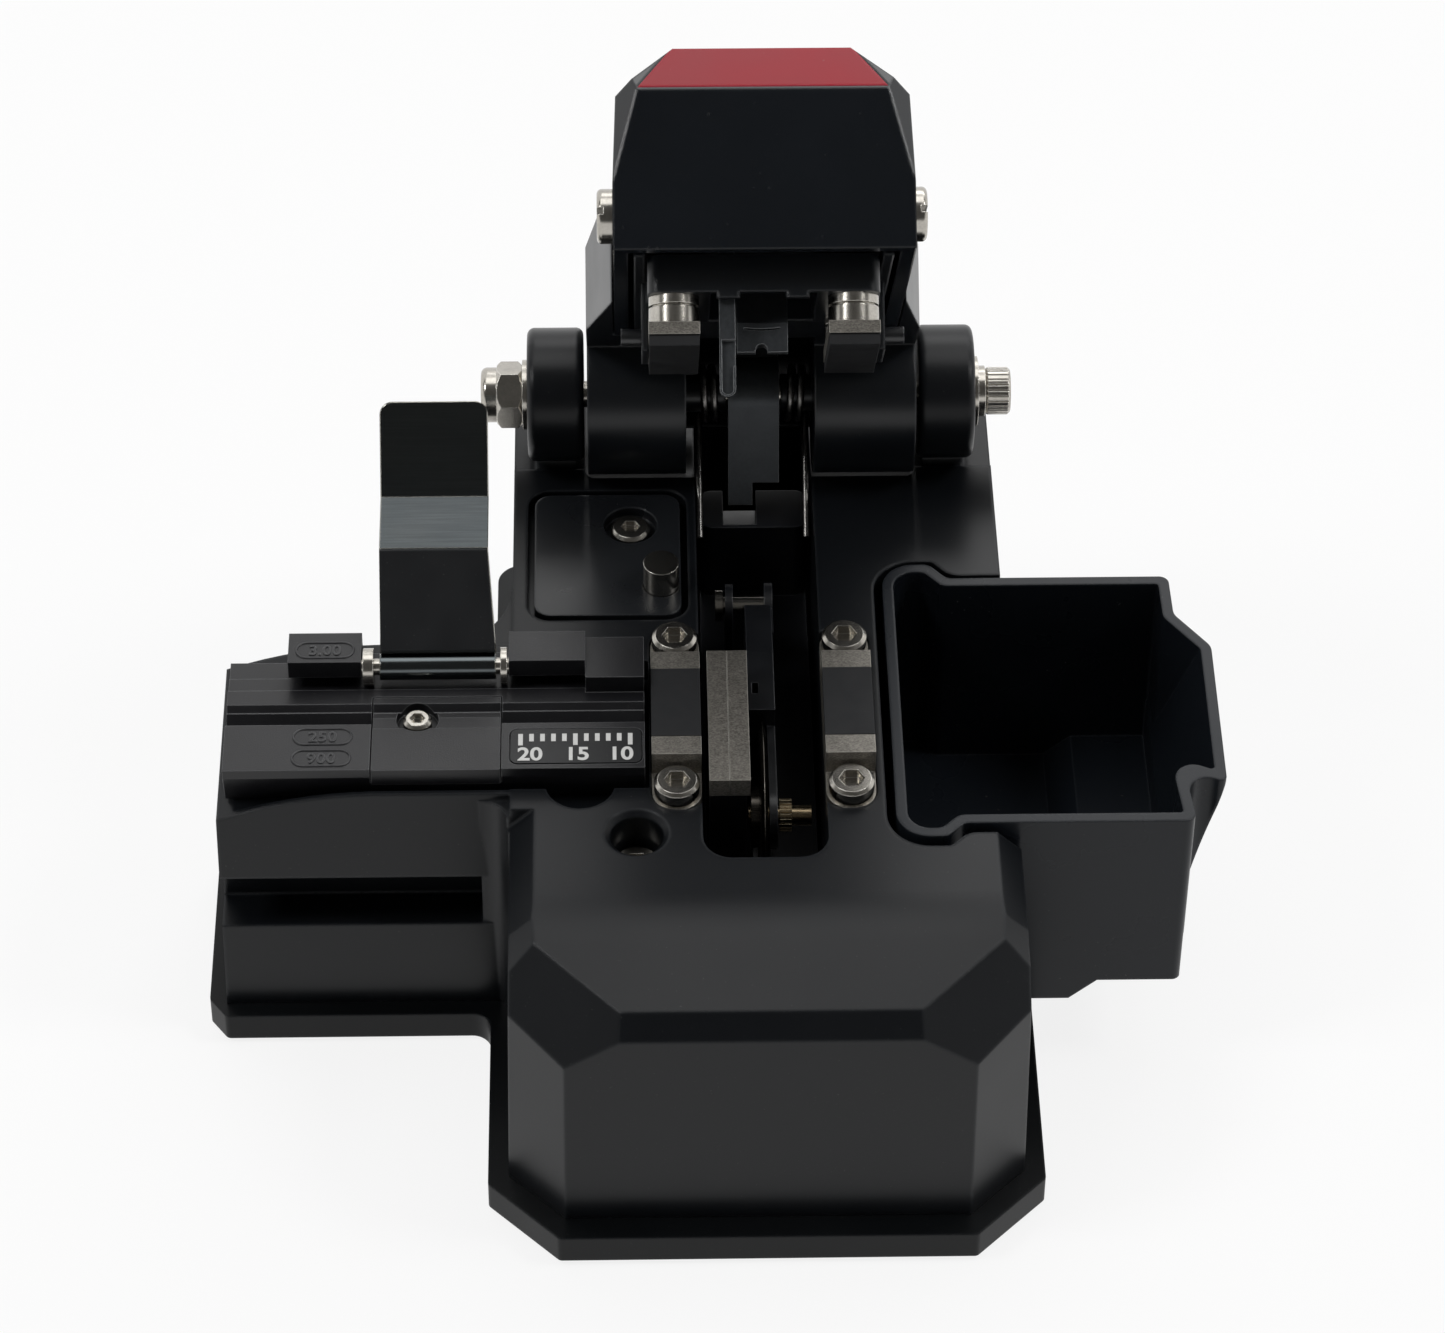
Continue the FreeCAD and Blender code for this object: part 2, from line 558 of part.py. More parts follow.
# ---------------------------------------------------------------- slide
def slide_rail():
    rail = box(-RAIL_W / 2, RAIL_W / 2, RAIL_Y0, RAIL_Y1, SLOT_FLOOR, RAIL_Z1)
    for side in (-1, 1):
        rail = rail.cut(rod((side * (RAIL_W / 2 + 0.25), RAIL_Y0, SLOT_FLOOR + 1.5), (0, 1, 0), 0.6,
                            RAIL_Y1 - RAIL_Y0))
    for y in RAIL_SCREWS:
        rail = rail.cut(rod_z(0, y, SLOT_FLOOR, RAIL_Z1, 0.8))
        rail = rail.cut(rod_z(0, y, SLOT_FLOOR + 1.1, RAIL_Z1, 1.45))
    return rail


def rail_screws():
    seat = SLOT_FLOOR + 1.1
    return [rod_z(0, y, seat, RAIL_Z1 - 0.15, 1.35).fuse(rod_z(0, y, SLOT_FLOOR, seat, 0.7))
            for y in RAIL_SCREWS]


def carriage_saddle():
    saddle = box(-3.6, 3.6, -8.0, 16.0, SLOT_FLOOR + 0.4, SLIDE_Z)
    half = RAIL_W / 2 + RAIL_PLAY
    return saddle.cut(box(-half, half, -8.0, 16.0, SLOT_FLOOR, RAIL_Z1 + RAIL_PLAY))


def carriage_block():
    """Slide block: the guard's pedestal, the blade arm's ear, and the notched block that the leaf pushes."""
    x = SLOT_HALF_W - 0.4
    bed = box(-x, x, -14.6, 24.0, SLIDE_Z, SLIDE_TOP)
    tail = box(-TAIL_HALF_W, TAIL_HALF_W, 24.0, TAIL_Y1 - TAIL_R, SLIDE_Z, SLIDE_TOP)
    push = rounded_box(-TAIL_HALF_W, TAIL_HALF_W, TAIL_Y0, TAIL_Y1, SLIDE_Z, TAIL_TOP, TAIL_R)
    notch = box(-LEAF_HALF_W - 0.45, 0.3, TAIL_Y0 + NOTCH_WALL, TAIL_Y1, TAIL_TOP - 2.6, TAIL_TOP)
    pedestal = box(GUARD_X0, GUARD_X1 - 0.3, GUARD_Y0 + 0.4, GUARD_Y1, SLIDE_TOP, GUARD_Z0)
    ear = box(EAR_X0, EAR_X1, ARM_PIVOT[0] - 2.0, ARM_PIVOT[0] + 2.0, SLIDE_TOP, ARM_PIVOT[1])
    ear = ear.fuse(rod_x(EAR_X0, EAR_X1, ARM_PIVOT[0], ARM_PIVOT[1], 2.0))
    block = fuse([bed, tail, push.cut(notch), pedestal, ear])
    block = block.cut(rod_x(EAR_X0, EAR_X1, ARM_PIVOT[0], ARM_PIVOT[1], PIVOT_R))
    return block.cut(rod_x(-0.8, 0.8, BLADE_Y, BLADE_Z, BLADE_R + 0.7))


def guard_halves():
    middle = (GUARD_X0 + GUARD_X1) / 2
    return [box(GUARD_X0, middle - 0.02, GUARD_Y0, GUARD_Y1, GUARD_Z0, GUARD_Z1),
            box(middle + 0.02, GUARD_X1, GUARD_Y0, GUARD_Y1, GUARD_Z0, GUARD_Z1)]


def blade_arm():
    """Lever on the slide: its ear turns on the pivot pin, its front cheek carries the blade's axle."""
    low = BLADE_Z - 3.7
    side_view = [(2.5, low), (17.4, low + 1.1), (17.4, ARM_TOP - 1.0), (10.0, ARM_TOP), (2.5, ARM_TOP)]
    bar = prism(side_view, "x", ARM_X0, ARM_X1)
    link = box(ARM_EAR_X0, ARM_EAR_X1, 15.0, ARM_PIVOT[0], ARM_PIVOT[1] - 2.1, ARM_PIVOT[1] + 1.2)
    boss = rod_x(ARM_EAR_X0, ARM_EAR_X1, ARM_PIVOT[0], ARM_PIVOT[1], 2.1)
    cheek = box(0.55, ARM_X1, BLADE_Y, 3.0, BLADE_Z - 3.0, BLADE_Z + 3.0)
    cheek = cheek.fuse(rod_x(0.55, ARM_X1, BLADE_Y, BLADE_Z, 3.0))
    arm = fuse([bar, link, boss, cheek])
    arm = arm.cut(rod_x(-3, 2, ARM_PIVOT[0], ARM_PIVOT[1], PIVOT_R))
    arm = arm.cut(rod_x(0, 2, BLADE_Y, BLADE_Z, 1.0))
    return arm.cut(box(-0.75, -0.2, 4.6, 6.0, ARM_TOP - 1.3, ARM_TOP + 0.7))


def arm_pivot_pin():
    """Pin through the ear and the arm, with a turned head at its left end."""
    y, z = ARM_PIVOT
    return rod_x(-3.85, ARM_EAR_X1, y, z, PIVOT_R).fuse(rod_x(-3.85, -3.1, y, z, 1.5))


def knurled(solid, x0, x1, y, z, radius, teeth):
    """Straight knurl: V grooves along X, spread evenly round a rod."""
    depth = 0.16
    width = math.pi * radius / teeth
    grooves = []
    for i in range(teeth):
        notch = [(radius + 0.05, -width / 2), (radius + 0.05, width / 2), (radius - depth, 0)]
        groove = prism(notch, "x", x0, x1)
        groove.rotate(V(0, 0, 0), V(1, 0, 0), 360.0 * i / teeth)
        groove.translate(V(0, y, z))
        grooves.append(groove)
    return solid.cut(grooves)


def brass_stud():
    """The blade's axle: knurled collar outside the arm, plain pin beyond it."""
    x0, x1 = ARM_X1 + 0.2, ARM_X1 + 1.3
    collar = knurled(rod_x(x0, x1, BLADE_Y, BLADE_Z, 1.5), x0, x1, BLADE_Y, BLADE_Z, 1.5, 20)
    pin = rod_x(ARM_X1, 4.4, BLADE_Y, BLADE_Z, 0.95)
    axle = rod_x(-1.3, ARM_X1, BLADE_Y, BLADE_Z, 1.0)
    return fuse([collar, pin, axle])


def blade_wheel():
    half = BLADE_T / 2
    profile = [V(-half, 0, BLADE_BORE), V(-half, 0, BLADE_R - 0.9), V(-0.02, 0, BLADE_R), V(0.02, 0, BLADE_R),
               V(half, 0, BLADE_R - 0.9), V(half, 0, BLADE_BORE), V(-half, 0, BLADE_BORE)]
    disc = Part.Face(Part.makePolygon(profile)).revolve(V(0, 0, 0), V(1, 0, 0), 360)
    disc.translate(V(0, BLADE_Y, BLADE_Z))
    return disc


def blade_hub():
    half = BLADE_T / 2
    hub = rod_x(-1.1, -half, BLADE_Y, BLADE_Z, 2.9).fuse(rod_x(-half, half, BLADE_Y, BLADE_Z, BLADE_BORE))
    return hub.cut(rod_x(-1.2, 0.5, BLADE_Y, BLADE_Z, 1.06))


# ---------------------------------------------------------------- hinge hardware
def at_hinge(shape):
    shape.translate(V(HINGE_X, 0, 0))
    return shape


def hinge_axle():
    head_x0, head_x1 = LUG_X1 + 1.2, LUG_X1 + 3.6
    shank = rod_x(-LUG_X1 - 4.2, head_x0, HINGE_Y, HINGE_Z, AXLE_R)
    head = rod_x(head_x0, head_x1, HINGE_Y, HINGE_Z, 2.25)
    head = head.makeChamfer(0.25, [head.Edges[0], head.Edges[2]])
    head = knurled(head, head_x0, head_x1, HINGE_Y, HINGE_Z, 2.25, 26)
    well = hex_prism((head_x0 + 1.0, HINGE_Y, HINGE_Z), (1, 0, 0), 2.2, 2)
    return at_hinge(shank.fuse(head).cut(well))


def hinge_nut():
    """Lock nut: bevelled corners on the hexagon and a rounded collar."""
    x0, x1 = -LUG_X1 - 2.9, -LUG_X1 - 0.5
    nut = hex_prism((x0, HINGE_Y, HINGE_Z), (1, 0, 0), 5.5, x1 - x0, 12)
    round_nut = rod_x(x0, x1, HINGE_Y, HINGE_Z, 3.17)
    round_nut = round_nut.makeChamfer(0.4, [round_nut.Edges[0], round_nut.Edges[2]])
    collar = rod_x(x0 - 1.5, x0, HINGE_Y, HINGE_Z, 2.6)
    collar = collar.makeFillet(0.6, [e for e in collar.Edges if e.BoundBox.XMax < x0 - 1])
    bore = rod_x(-LUG_X1 - 6, -LUG_X1, HINGE_Y, HINGE_Z, AXLE_R)
    return at_hinge(nut.common(round_nut).fuse(collar).cut(bore))


def washer(x0, x1, radius):
    return rod_x(x0, x1, HINGE_Y, HINGE_Z, radius).cut(rod_x(x0, x1, HINGE_Y, HINGE_Z, AXLE_R))


def hinge_washers():
    return [at_hinge(washer(-LUG_X1 - 0.5, -LUG_X1, 3.3)), at_hinge(washer(LUG_X1, LUG_X1 + 0.5, 3.3)),
            at_hinge(washer(LUG_X1 + 0.5, LUG_X1 + 1.2, 2.4))]


def hinge_spring(side):
    """Torsion spring wound close round the lid's nose, with a straight leg down along the slot's side.

    Each half turn is an arc in a leaning plane, so the halves meet end to end with no kink.
    """
    last = SPRING_HALF_TURNS * SPRING_PITCH / 2
    pieces = [rod((SPRING_R, 0, last), (0, -1, 0), SPRING_WIRE, SPRING_LEG),
              rod((SPRING_R, -SPRING_LEG, last), (0, -1, 0), SPRING_WIRE + 0.05, 0.7)]
    for half in range(SPRING_HALF_TURNS):
        sign = 1 if half % 2 == 0 else -1
        start = V(sign * SPRING_R, 0, half * SPRING_PITCH / 2)
        end = Part.Face(Part.Wire([Part.makeCircle(SPRING_WIRE, start, V(0, 1, 0))]))
        centre = V(0, 0, (half + 0.5) * SPRING_PITCH / 2)
        pieces.append(end.revolve(centre, V(sign * SPRING_PITCH / 2, 0, 2 * SPRING_R), -180))
    spring = fuse(pieces)
    along_x = FreeCAD.Rotation(V(0, 0, 1), V(1, 0, 0))
    spring.Placement = FreeCAD.Placement(V(SPRING_X, HINGE_Y, HINGE_Z), along_x)
    spring.rotate(V(0, HINGE_Y, HINGE_Z), V(1, 0, 0), SPRING_TURN)
    spring = spring if side > 0 else mirror_x(spring)
    spring.translate(V(SPRING_SHIFT, 0, 0))
    return spring


# ---------------------------------------------------------------- lid (drawn closed, then opened)
def lid_arm():
    """Casting between hinge and cover: barrels, cheeks that flank the cover, a neck, the pad carrier."""
    plate = box(-RAIL_X1, RAIL_X1, -7.0, 27.0, ARM_PLATE_Z0, ARM_PLATE_Z0 + 2.2)
    top = HINGE_Z + ARM_R
    neck_profile = [(COVER_REAR + 0.3, COVER_Z0), (HINGE_Y - 4, COVER_Z0), (HINGE_Y, HINGE_Z - 2.0),
                    (HINGE_Y, top), (COVER_REAR + 0.3, NECK_TOP)]
    neck = prism(neck_profile, "x", -CHEEK_X0, CHEEK_X0)
    tongue = box(-RAIL_X1, RAIL_X1, 20.0, COVER_REAR + 0.3, COVER_Z0, TONGUE_TOP)
    barrels = rod_x(-CHEEK_X0, CHEEK_X0, HINGE_Y, HINGE_Z, ARM_R)
    rails = both_sides(box(RAIL_X0, RAIL_X1, -8.0, 27.0, COVER_Z0, ARM_PLATE_Z0 + 2.2))
    lugs = both_sides(box(RAIL_X0, RAIL_X1, PIVOT_Y - 3, PIVOT_Y + 3, ARM_PLATE_Z0, PIVOT_Z + 2.6))
    arm = fuse([plate, neck, tongue, barrels] + rails + lugs + [cheek(side) for side in (-1, 1)])
    arm = arm.cut(rod_x(-20, 20, PIVOT_Y, PIVOT_Z, 1.2))
    gap = [rod_x(BARREL_LEFT, BARREL_RIGHT, HINGE_Y, HINGE_Z, HOOD_R),
           box(BARREL_LEFT, BARREL_RIGHT, 27.0, HINGE_Y + 12, HINGE_Z - 12, HINGE_Z - 2.0),
           box(BARREL_LEFT, BARREL_RIGHT, 27.0, HINGE_Y, HINGE_Z - 12, COVER_Z0 + 1)]
    arm = arm.cut(gap)
    noses = [rod_x(BARREL_LEFT - 1, -LEAF_HALF_W - 0.2, HINGE_Y, HINGE_Z, NOSE_R),
             rod_x(LEAF_HALF_W + 0.2, BARREL_RIGHT + 1, HINGE_Y, HINGE_Z, NOSE_R)]
    arm = fuse([arm] + noses).cut(rod_x(-20, 20, HINGE_Y, HINGE_Z, AXLE_R + AXLE_PLAY))
    for side in (-1, 1):
        arm = arm.cut(rod_z(side * 7.8, 0, ARM_PLATE_Z0 - 1, ARM_PLATE_Z0 + 3, 1.0))
    return arm


def cheek(side):
    """Outer cheek: round at the hinge, then a wall beside the cover that flares in at its front end."""
    outer = CHEEK_X1 + side * HINGE_X
    disc = rod_x(CHEEK_X0 - 1, outer, HINGE_Y, HINGE_Z, ARM_R)
    profile = [(SHOULDER_Y, COVER_Z0), (HINGE_Y - 4, COVER_Z0), (HINGE_Y, HINGE_Z - ARM_R + 2),
               (HINGE_Y, HINGE_Z + ARM_R), (COVER_REAR + 3, SHOULDER_Z), (SHOULDER_Y + 4, SHOULDER_Z),
               (SHOULDER_Y, SHOULDER_Z - 3)]
    web = prism(profile, "x", CHEEK_X0 - 1, outer)
    beside = COVER_HALF_W + 0.1
    flare_plan = [(outer + 3, SHOULDER_Y - 5), (beside, SHOULDER_Y - 5), (beside, SHOULDER_Y),
                  (outer, SHOULDER_Y + 13), (outer + 3, SHOULDER_Y + 13)]
    flare = prism(flare_plan, "z", HINGE_Z - ARM_R, COVER_TOP + 2)
    bevel = prism([(outer, SHOULDER_Z - 3.2), (outer + 2, SHOULDER_Z - 3.2), (outer + 2, SHOULDER_Z + 1),
                   (COVER_HALF_W + 0.2, SHOULDER_Z + 1), (COVER_HALF_W + 0.2, SHOULDER_Z)], "y", 0, 50)
    inner = box(0, COVER_HALF_W + 0.15, SHOULDER_Y - 1, COVER_REAR + 0.3, COVER_Z0 - 0.5, COVER_TOP + 2)
    shape = disc.fuse(web.cut([flare, bevel, inner]))
    return shape if side > 0 else mirror_x(shape)


def cover_solid(inset_by):
    """The cover's outer form, or its hollow when drawn smaller."""
    w, n = COVER_HALF_W - inset_by, inset_by
    front, rear = COVER_FRONT + n, COVER_REAR - n
    side_view = [(front, COVER_Z0 - (n > 0)), (front, COVER_SHOULDER), (front + 3.0, COVER_TOP - n),
                 (8.0, COVER_TOP - n), (rear, COVER_Z0 + 9.0 - n), (rear, COVER_Z0 - (n > 0))]
    front_view = [(-w, COVER_Z0 - 2), (w, COVER_Z0 - 2), (w, COVER_Z0 + 5.8), (w - 0.3, COVER_SHOULDER - 0.2),
                  (COVER_TOP_HALF_W, COVER_TOP - n), (-COVER_TOP_HALF_W, COVER_TOP - n),
                  (-w + 0.3, COVER_SHOULDER - 0.2), (-w, COVER_Z0 + 5.8)]
    solid = prism(side_view, "x", -20, 20).common(prism(front_view, "y", COVER_FRONT - 5, COVER_REAR + 5))
    for side in (-1, 1):
        low = V(side * w, front, COVER_Z0 + 6.0)
        across = V(side * (w - 2.15), front, COVER_SHOULDER)
        back = V(side * (w - 0.3), front + 1.9, COVER_SHOULDER)
        normal = (across - low).cross(back - low)
        if normal.x * side < 0:
            normal = normal * -1
        solid = solid.cut(half_space(tuple(low), tuple(normal)))
    return solid


def lid_cover():
    cover = cover_solid(0).cut(cover_solid(COVER_WALL))
    cover = cover.cut(cap_solid(0))
    half = RAIL_X1 + 0.1
    rear_slot = box(-half, half, COVER_REAR - 5, COVER_REAR + 1, COVER_Z0 - 1, TONGUE_TOP + 0.2)
    return cover.cut(rear_slot).cut(rod_x(-20, 20, PIVOT_Y, PIVOT_Z, 1.3))


def cap_solid(play):
    """Red cap: the front slope and the front of the top, let into the cover."""
    half = COVER_TOP_HALF_W - play
    deep = 0.7 - play
    skin = cover_solid(0).cut(cover_solid(deep))
    low = COVER_SHOULDER + 0.15 + play
    zone = prism([(COVER_FRONT - 1, low), (COVER_FRONT - 1, COVER_TOP + 1), (CAP_REAR - play, COVER_TOP + 1),
                  (CAP_REAR - play, low)], "x", -20, 20)
    roof = prism([(-COVER_HALF_W + 2.1, COVER_SHOULDER - 1), (COVER_HALF_W - 2.1, COVER_SHOULDER - 1),
                  (COVER_HALF_W - 2.1, COVER_SHOULDER), (half, COVER_TOP + 0.2), (-half, COVER_TOP + 0.2),
                  (-COVER_HALF_W + 2.1, COVER_SHOULDER)], "y", -20, 30)
    return skin.common(zone).common(roof)


def red_cap():
    return cap_solid(0.0)


def cover_screws():
    screws = []
    for side in (-1, 1):
        head = rod_x(COVER_HALF_W, COVER_HALF_W + 1.4, PIVOT_Y, PIVOT_Z, 2.4)
        head = head.makeFillet(0.45, [head.Edges[0]])
        head = head.cut(box(COVER_HALF_W + 0.8, COVER_HALF_W + 2, PIVOT_Y - 3, PIVOT_Y + 3,
                            PIVOT_Z - 0.3, PIVOT_Z + 0.3))
        shank = rod_x(COVER_HALF_W - COVER_WALL - 1.2, COVER_HALF_W, PIVOT_Y, PIVOT_Z, 1.2)
        screw = head.fuse(shank)
        screws.append(screw if side > 0 else mirror_x(screw))
    return screws


def bracket_pins():
    return [rod_z(side * 7.8, 0, BRACKET_Z0 + 0.6, ARM_PLATE_Z0 + 2.2, 1.0) for side in (-1, 1)]


def upper_bracket():
    """Black carrier of the upper pads: a frame that rides on two pins in the arm, with two small lips."""
    body = rounded_box(-10.05, 10.05, -PAD_HALF_L, PAD_HALF_L, BRACKET_Z0, BRACKET_Z1, 1.0)
    body = body.cut(box(-4.6, 4.6, -PAD_HALF_L + 0.65, PAD_HALF_L - 0.65, BRACKET_Z0, BRACKET_Z1))
    for side in (-1, 1):
        body = body.cut(rod_z(side * 7.8, 0, BRACKET_Z0, BRACKET_Z1, 1.06))
        ear = box(10.0, 10.6, -2.0, 4.0, BRACKET_Z0 - 4.2, BRACKET_Z0 + 1.8)
        body = body.fuse(ear if side > 0 else mirror_x(ear))
    for x in (-3.1, 2.9):
        lip = rounded_box(x - 1.05, x + 1.05, -PAD_HALF_L, -PAD_HALF_L + 0.65,
                          BRACKET_Z0 - 0.5, BRACKET_Z0 + 0.5, 0.3)
        body = body.fuse(lip)
    return body.removeSplitter()


def upper_pad_block(side):
    z0 = PAD_Z + LID_GAP + 1.0
    x0, x1 = sorted((side * PAD_IN, side * (PAD_IN + PAD_W)))
    return box(x0, x1, -PAD_HALF_L, PAD_HALF_L, z0, z0 + 1.1)


def upper_rubber(side):
    z0 = PAD_Z + LID_GAP
    x0, x1 = sorted((side * PAD_IN, side * (PAD_IN + PAD_W)))
    return box(x0 + 0.05, x1 - 0.05, -PAD_HALF_L + 0.2, PAD_HALF_L - 0.2, z0, z0 + 1.0)


def pad_studs():
    z0 = PAD_Z + LID_GAP + 2.1
    studs = []
    for side in (-1, 1):
        for y in (-4.3, 4.3):
            x = side * (PAD_IN + PAD_W / 2)
            low = rod_z(x, y, z0, z0 + 1.5, 2.2)
            waist = rod_z(x, y, z0 + 1.5, z0 + 1.7, 1.9)
            high = rod_z(x, y, z0 + 1.7, BRACKET_Z0, 2.2)
            studs.append(fuse([low, waist, high]))
    return studs


def pad_shaft():
    right = rod_x(10.6, 12.4, 1.0, PAD_Z + 2.4, 0.75)
    return [mirror_x(right), right]


def anvil():
    """Hard block over the blade that bends the scored fibre: upright face, leaning face, arched notch."""
    low, arch_z = PAD_Z + 0.1, PAD_Z + 0.4
    profile = [(-3.0, low + 0.1), (-2.5, low), (1.6, low + 3.3), (1.6, ARM_PLATE_Z0), (-1.4, ARM_PLATE_Z0),
               (-1.9, low + 5.5), (-3.0, low + 2.65)]
    block = prism(profile, "x", -2.33, 2.1)
    arch = rod((-0.2, -8, arch_z), (0, 1, 0), 0.52, 16).fuse(box(-0.72, 0.32, -8, 8, arch_z - 1.2, arch_z))
    groove = rod((-0.15, -3.0, low + 11.2), (0, 1, 0), 9.2, 0.5)
    groove = groove.cut(rod((-0.15, -3.1, low + 11.9), (0, 1, 0), 9.75, 0.7))
    groove = groove.common(box(-1.7, 1.4, -3.0, -2.7, low + 1.7, low + 2.4))
    return block.cut(arch).cut(groove)


def trigger_finger():
    """Thin finger that reaches down into the slot and ends in an open loop."""
    x0, x1 = -3.9, -2.5
    middle = (x0 + x1) / 2
    half = (x1 - x0) / 2
    low = FINGER_END + half
    strip = box(x0, x1, FINGER_Y, FINGER_Y + 0.7, low, ARM_PLATE_Z0)
    strip = strip.fuse(rod((middle, FINGER_Y, low), (0, 1, 0), half, 0.7))
    slot = box(x0 + 0.2, x1 - 0.2, FINGER_Y - 1, FINGER_Y + 0.45, low, PAD_Z + 0.8)
    slot = slot.fuse(rod((middle, FINGER_Y - 1, low), (0, 1, 0), half - 0.2, 1.45))
    opening = box(x1 - 0.3, x1 + 1, FINGER_Y - 1, FINGER_Y + 0.45, PAD_Z - 1.5, PAD_Z + 0.8)
    return strip.cut(slot).cut(opening)


def push_leaf():
    """Leaf on the axle whose lower end pushes the slide forward as the lid opens."""
    hub = rod_x(-LEAF_HALF_W, LEAF_HALF_W, HINGE_Y, HINGE_Z, 3.4)
    leaf = box(-LEAF_HALF_W, LEAF_HALF_W, HINGE_Y - 3.4, HINGE_Y - 1.9, HINGE_Z - LEAF_LONG, HINGE_Z)
    low = HINGE_Z - LEAF_LONG
    toe = box(-LEAF_HALF_W, -0.1, HINGE_Y - 3.4, HINGE_Y - 1.9, low - 2.3, low)
    leaf_part = fuse([hub, leaf, toe])
    leaf_part.rotate(V(0, HINGE_Y, HINGE_Z), V(1, 0, 0), LEAF_SET)
    strut = box(-LEAF_HALF_W, LEAF_HALF_W, HINGE_Y - 1.2, HINGE_Y + 1.2, HINGE_Z, HINGE_Z + 8)
    strut = strut.common(rod_x(-5, 5, HINGE_Y, HINGE_Z, HOOD_R))
    return leaf_part.fuse(strut).cut(rod_x(-5, 5, HINGE_Y, HINGE_Z, AXLE_R + AXLE_PLAY)).removeSplitter()


# ---------------------------------------------------------------- fibre holder and clamp
def holder_profile():
    """Section of the holder across the fibre: front strip, two fibre grooves, a shelf for the clamp row."""
    shelf, ledge, trough = HOLD_Z - 0.3, HOLD_Z + 0.8, HOLD_Z - 0.95
    return [(HOLD_FRONT, HOLD_Z - 1.0), (HOLD_FRONT + 1.0, HOLD_SEAT), (HOLD_REAR, HOLD_SEAT),
            (HOLD_REAR, ledge - 0.3), (HOLD_REAR - 0.3, ledge), (6.1, ledge), (6.1, trough), (2.6, trough),
            (2.6, shelf), (0.75, shelf), (0.15, shelf - 0.5), (-0.35, shelf), (-1.25, shelf - 1.0),
            (-2.15, HOLD_Z), (HOLD_FRONT, HOLD_Z)]


def fibre_holder():
    body = prism(holder_profile(), "x", HOLD_X0, HOLD_X1)
    lugs = [box(-42.7, -36.1, 3.4, HOLD_REAR, HOLD_Z + 0.5, LUGS_Z + 0.2),
            box(-22.8, -15.9, 3.4, HOLD_REAR, HOLD_Z + 0.5, LUGS_Z + 0.2),
            box(-15.9, HOLD_X1, 2.0, HOLD_REAR, HOLD_Z - 0.5, LUGS_Z - 0.6)]
    body = fuse([body] + lugs)
    bay = box(-36.1, -22.8, 1.9, HOLD_REAR + 1, HOLD_Z - 0.2, LUGS_Z + 2)
    low_end = box(HOLD_X0 - 1, -42.7, 4.8, HOLD_REAR + 1, HOLD_Z - 1.3, LUGS_Z + 2)
    low_top = box(HOLD_X0 - 1, -42.7, 1.0, HOLD_REAR + 1, HOLD_Z + 0.1, LUGS_Z + 2)
    insert = box(INSERT_X0 - 0.1, INSERT_X1 + 0.1, HOLD_FRONT - 1, 1.6, INSERT_SEAT, HOLD_Z + 1)
    scale = rounded_box(SCALE_X0 - 0.1, SCALE_X1 + 0.1, SCALE_Y0 - 0.1, SCALE_Y1 + 0.1,
                        HOLD_Z - 0.5, HOLD_Z + 1, 0.8)
    body = body.cut([bay, low_end, low_top, insert, scale])
    body = body.cut(rod_z(HOLD_SCREW[0], HOLD_SCREW[1], INSERT_SEAT - 1.2, INSERT_SEAT + 0.4, 0.78))
    return body.cut(rod_x(-38.0, -21.0, CLAMP_Y, CLAMP_Z, CLAMP_PIN_R + 0.01))


def holder_insert():
    """Drop-in block with the fibre's V groove, held by one screw in a half-round pocket."""
    shelf, strip = HOLD_Z - 0.3, HOLD_Z - 0.1
    section = [(HOLD_FRONT, INSERT_SEAT), (1.5, INSERT_SEAT), (1.5, shelf), (0.75, shelf), (0.15, shelf - 0.6),
               (-0.35, shelf - 0.1), (-0.8, shelf - 0.3), (-2.6, shelf - 0.3), (-2.6, strip),
               (HOLD_FRONT, strip)]
    block = prism(section, "x", INSERT_X0, INSERT_X1)
    block = block.cut(rod_z(HOLD_SCREW[0], HOLD_SCREW[1], INSERT_SEAT + 0.5, HOLD_Z + 1, 1.9))
    return block.cut(rod_z(HOLD_SCREW[0], HOLD_SCREW[1], INSERT_SEAT, HOLD_Z + 1, 0.8))


def holder_screw():
    return socket_screw(HOLD_SCREW[0], HOLD_SCREW[1], HOLD_Z - 0.3, 1.3, 1.1, 0.75, 1.6, 1.2)


def scale_plate():
    return rounded_box(SCALE_X0, SCALE_X1, SCALE_Y0, SCALE_Y1, HOLD_Z - 0.5, HOLD_Z + 0.05, 0.7)


def clamp_pin():
    return rod_x(-37.9, -21.1, CLAMP_Y, CLAMP_Z, CLAMP_PIN_R)


def clamp_springs():
    rings = []
    for x0, x1 in ((-35.95, -35.0), (-23.55, -22.95)):
        ring = rod_x(x0, x1, CLAMP_Y, CLAMP_Z, 1.7)
        rings.append(ring.cut(rod_x(x0, x1, CLAMP_Y, CLAMP_Z, CLAMP_PIN_R)))
    return rings


def clamp_place(shape):
    """Drawn lying shut over the holder, then leant back."""
    shape.rotate(V(0, CLAMP_Y, CLAMP_Z), V(1, 0, 0), -(90 + CLAMP_LEAN))
    return shape


def clamp_outline(grow):
    """Plan of the plate drawn shut: straight on the left, wider near the pin on the right."""
    x0, x1, wide = CLAMP_X0 - grow, CLAMP_X1 + grow, CLAMP_X1 + CLAMP_FLARE + grow
    tip = CLAMP_Y - CLAMP_FLAT - CLAMP_RAMP - CLAMP_TAB - grow
    points = [(x0, CLAMP_Y), (x0, tip), (x1, tip), (x1, CLAMP_Y - CLAMP_FLAT), (wide, CLAMP_Y - 1.5),
              (wide, CLAMP_Y)]
    return rounded_prism(points, [0.05, 1.2, 1.2, 8.0, 2.0, 0.05], CLAMP_Z - 3, CLAMP_Z + 9)


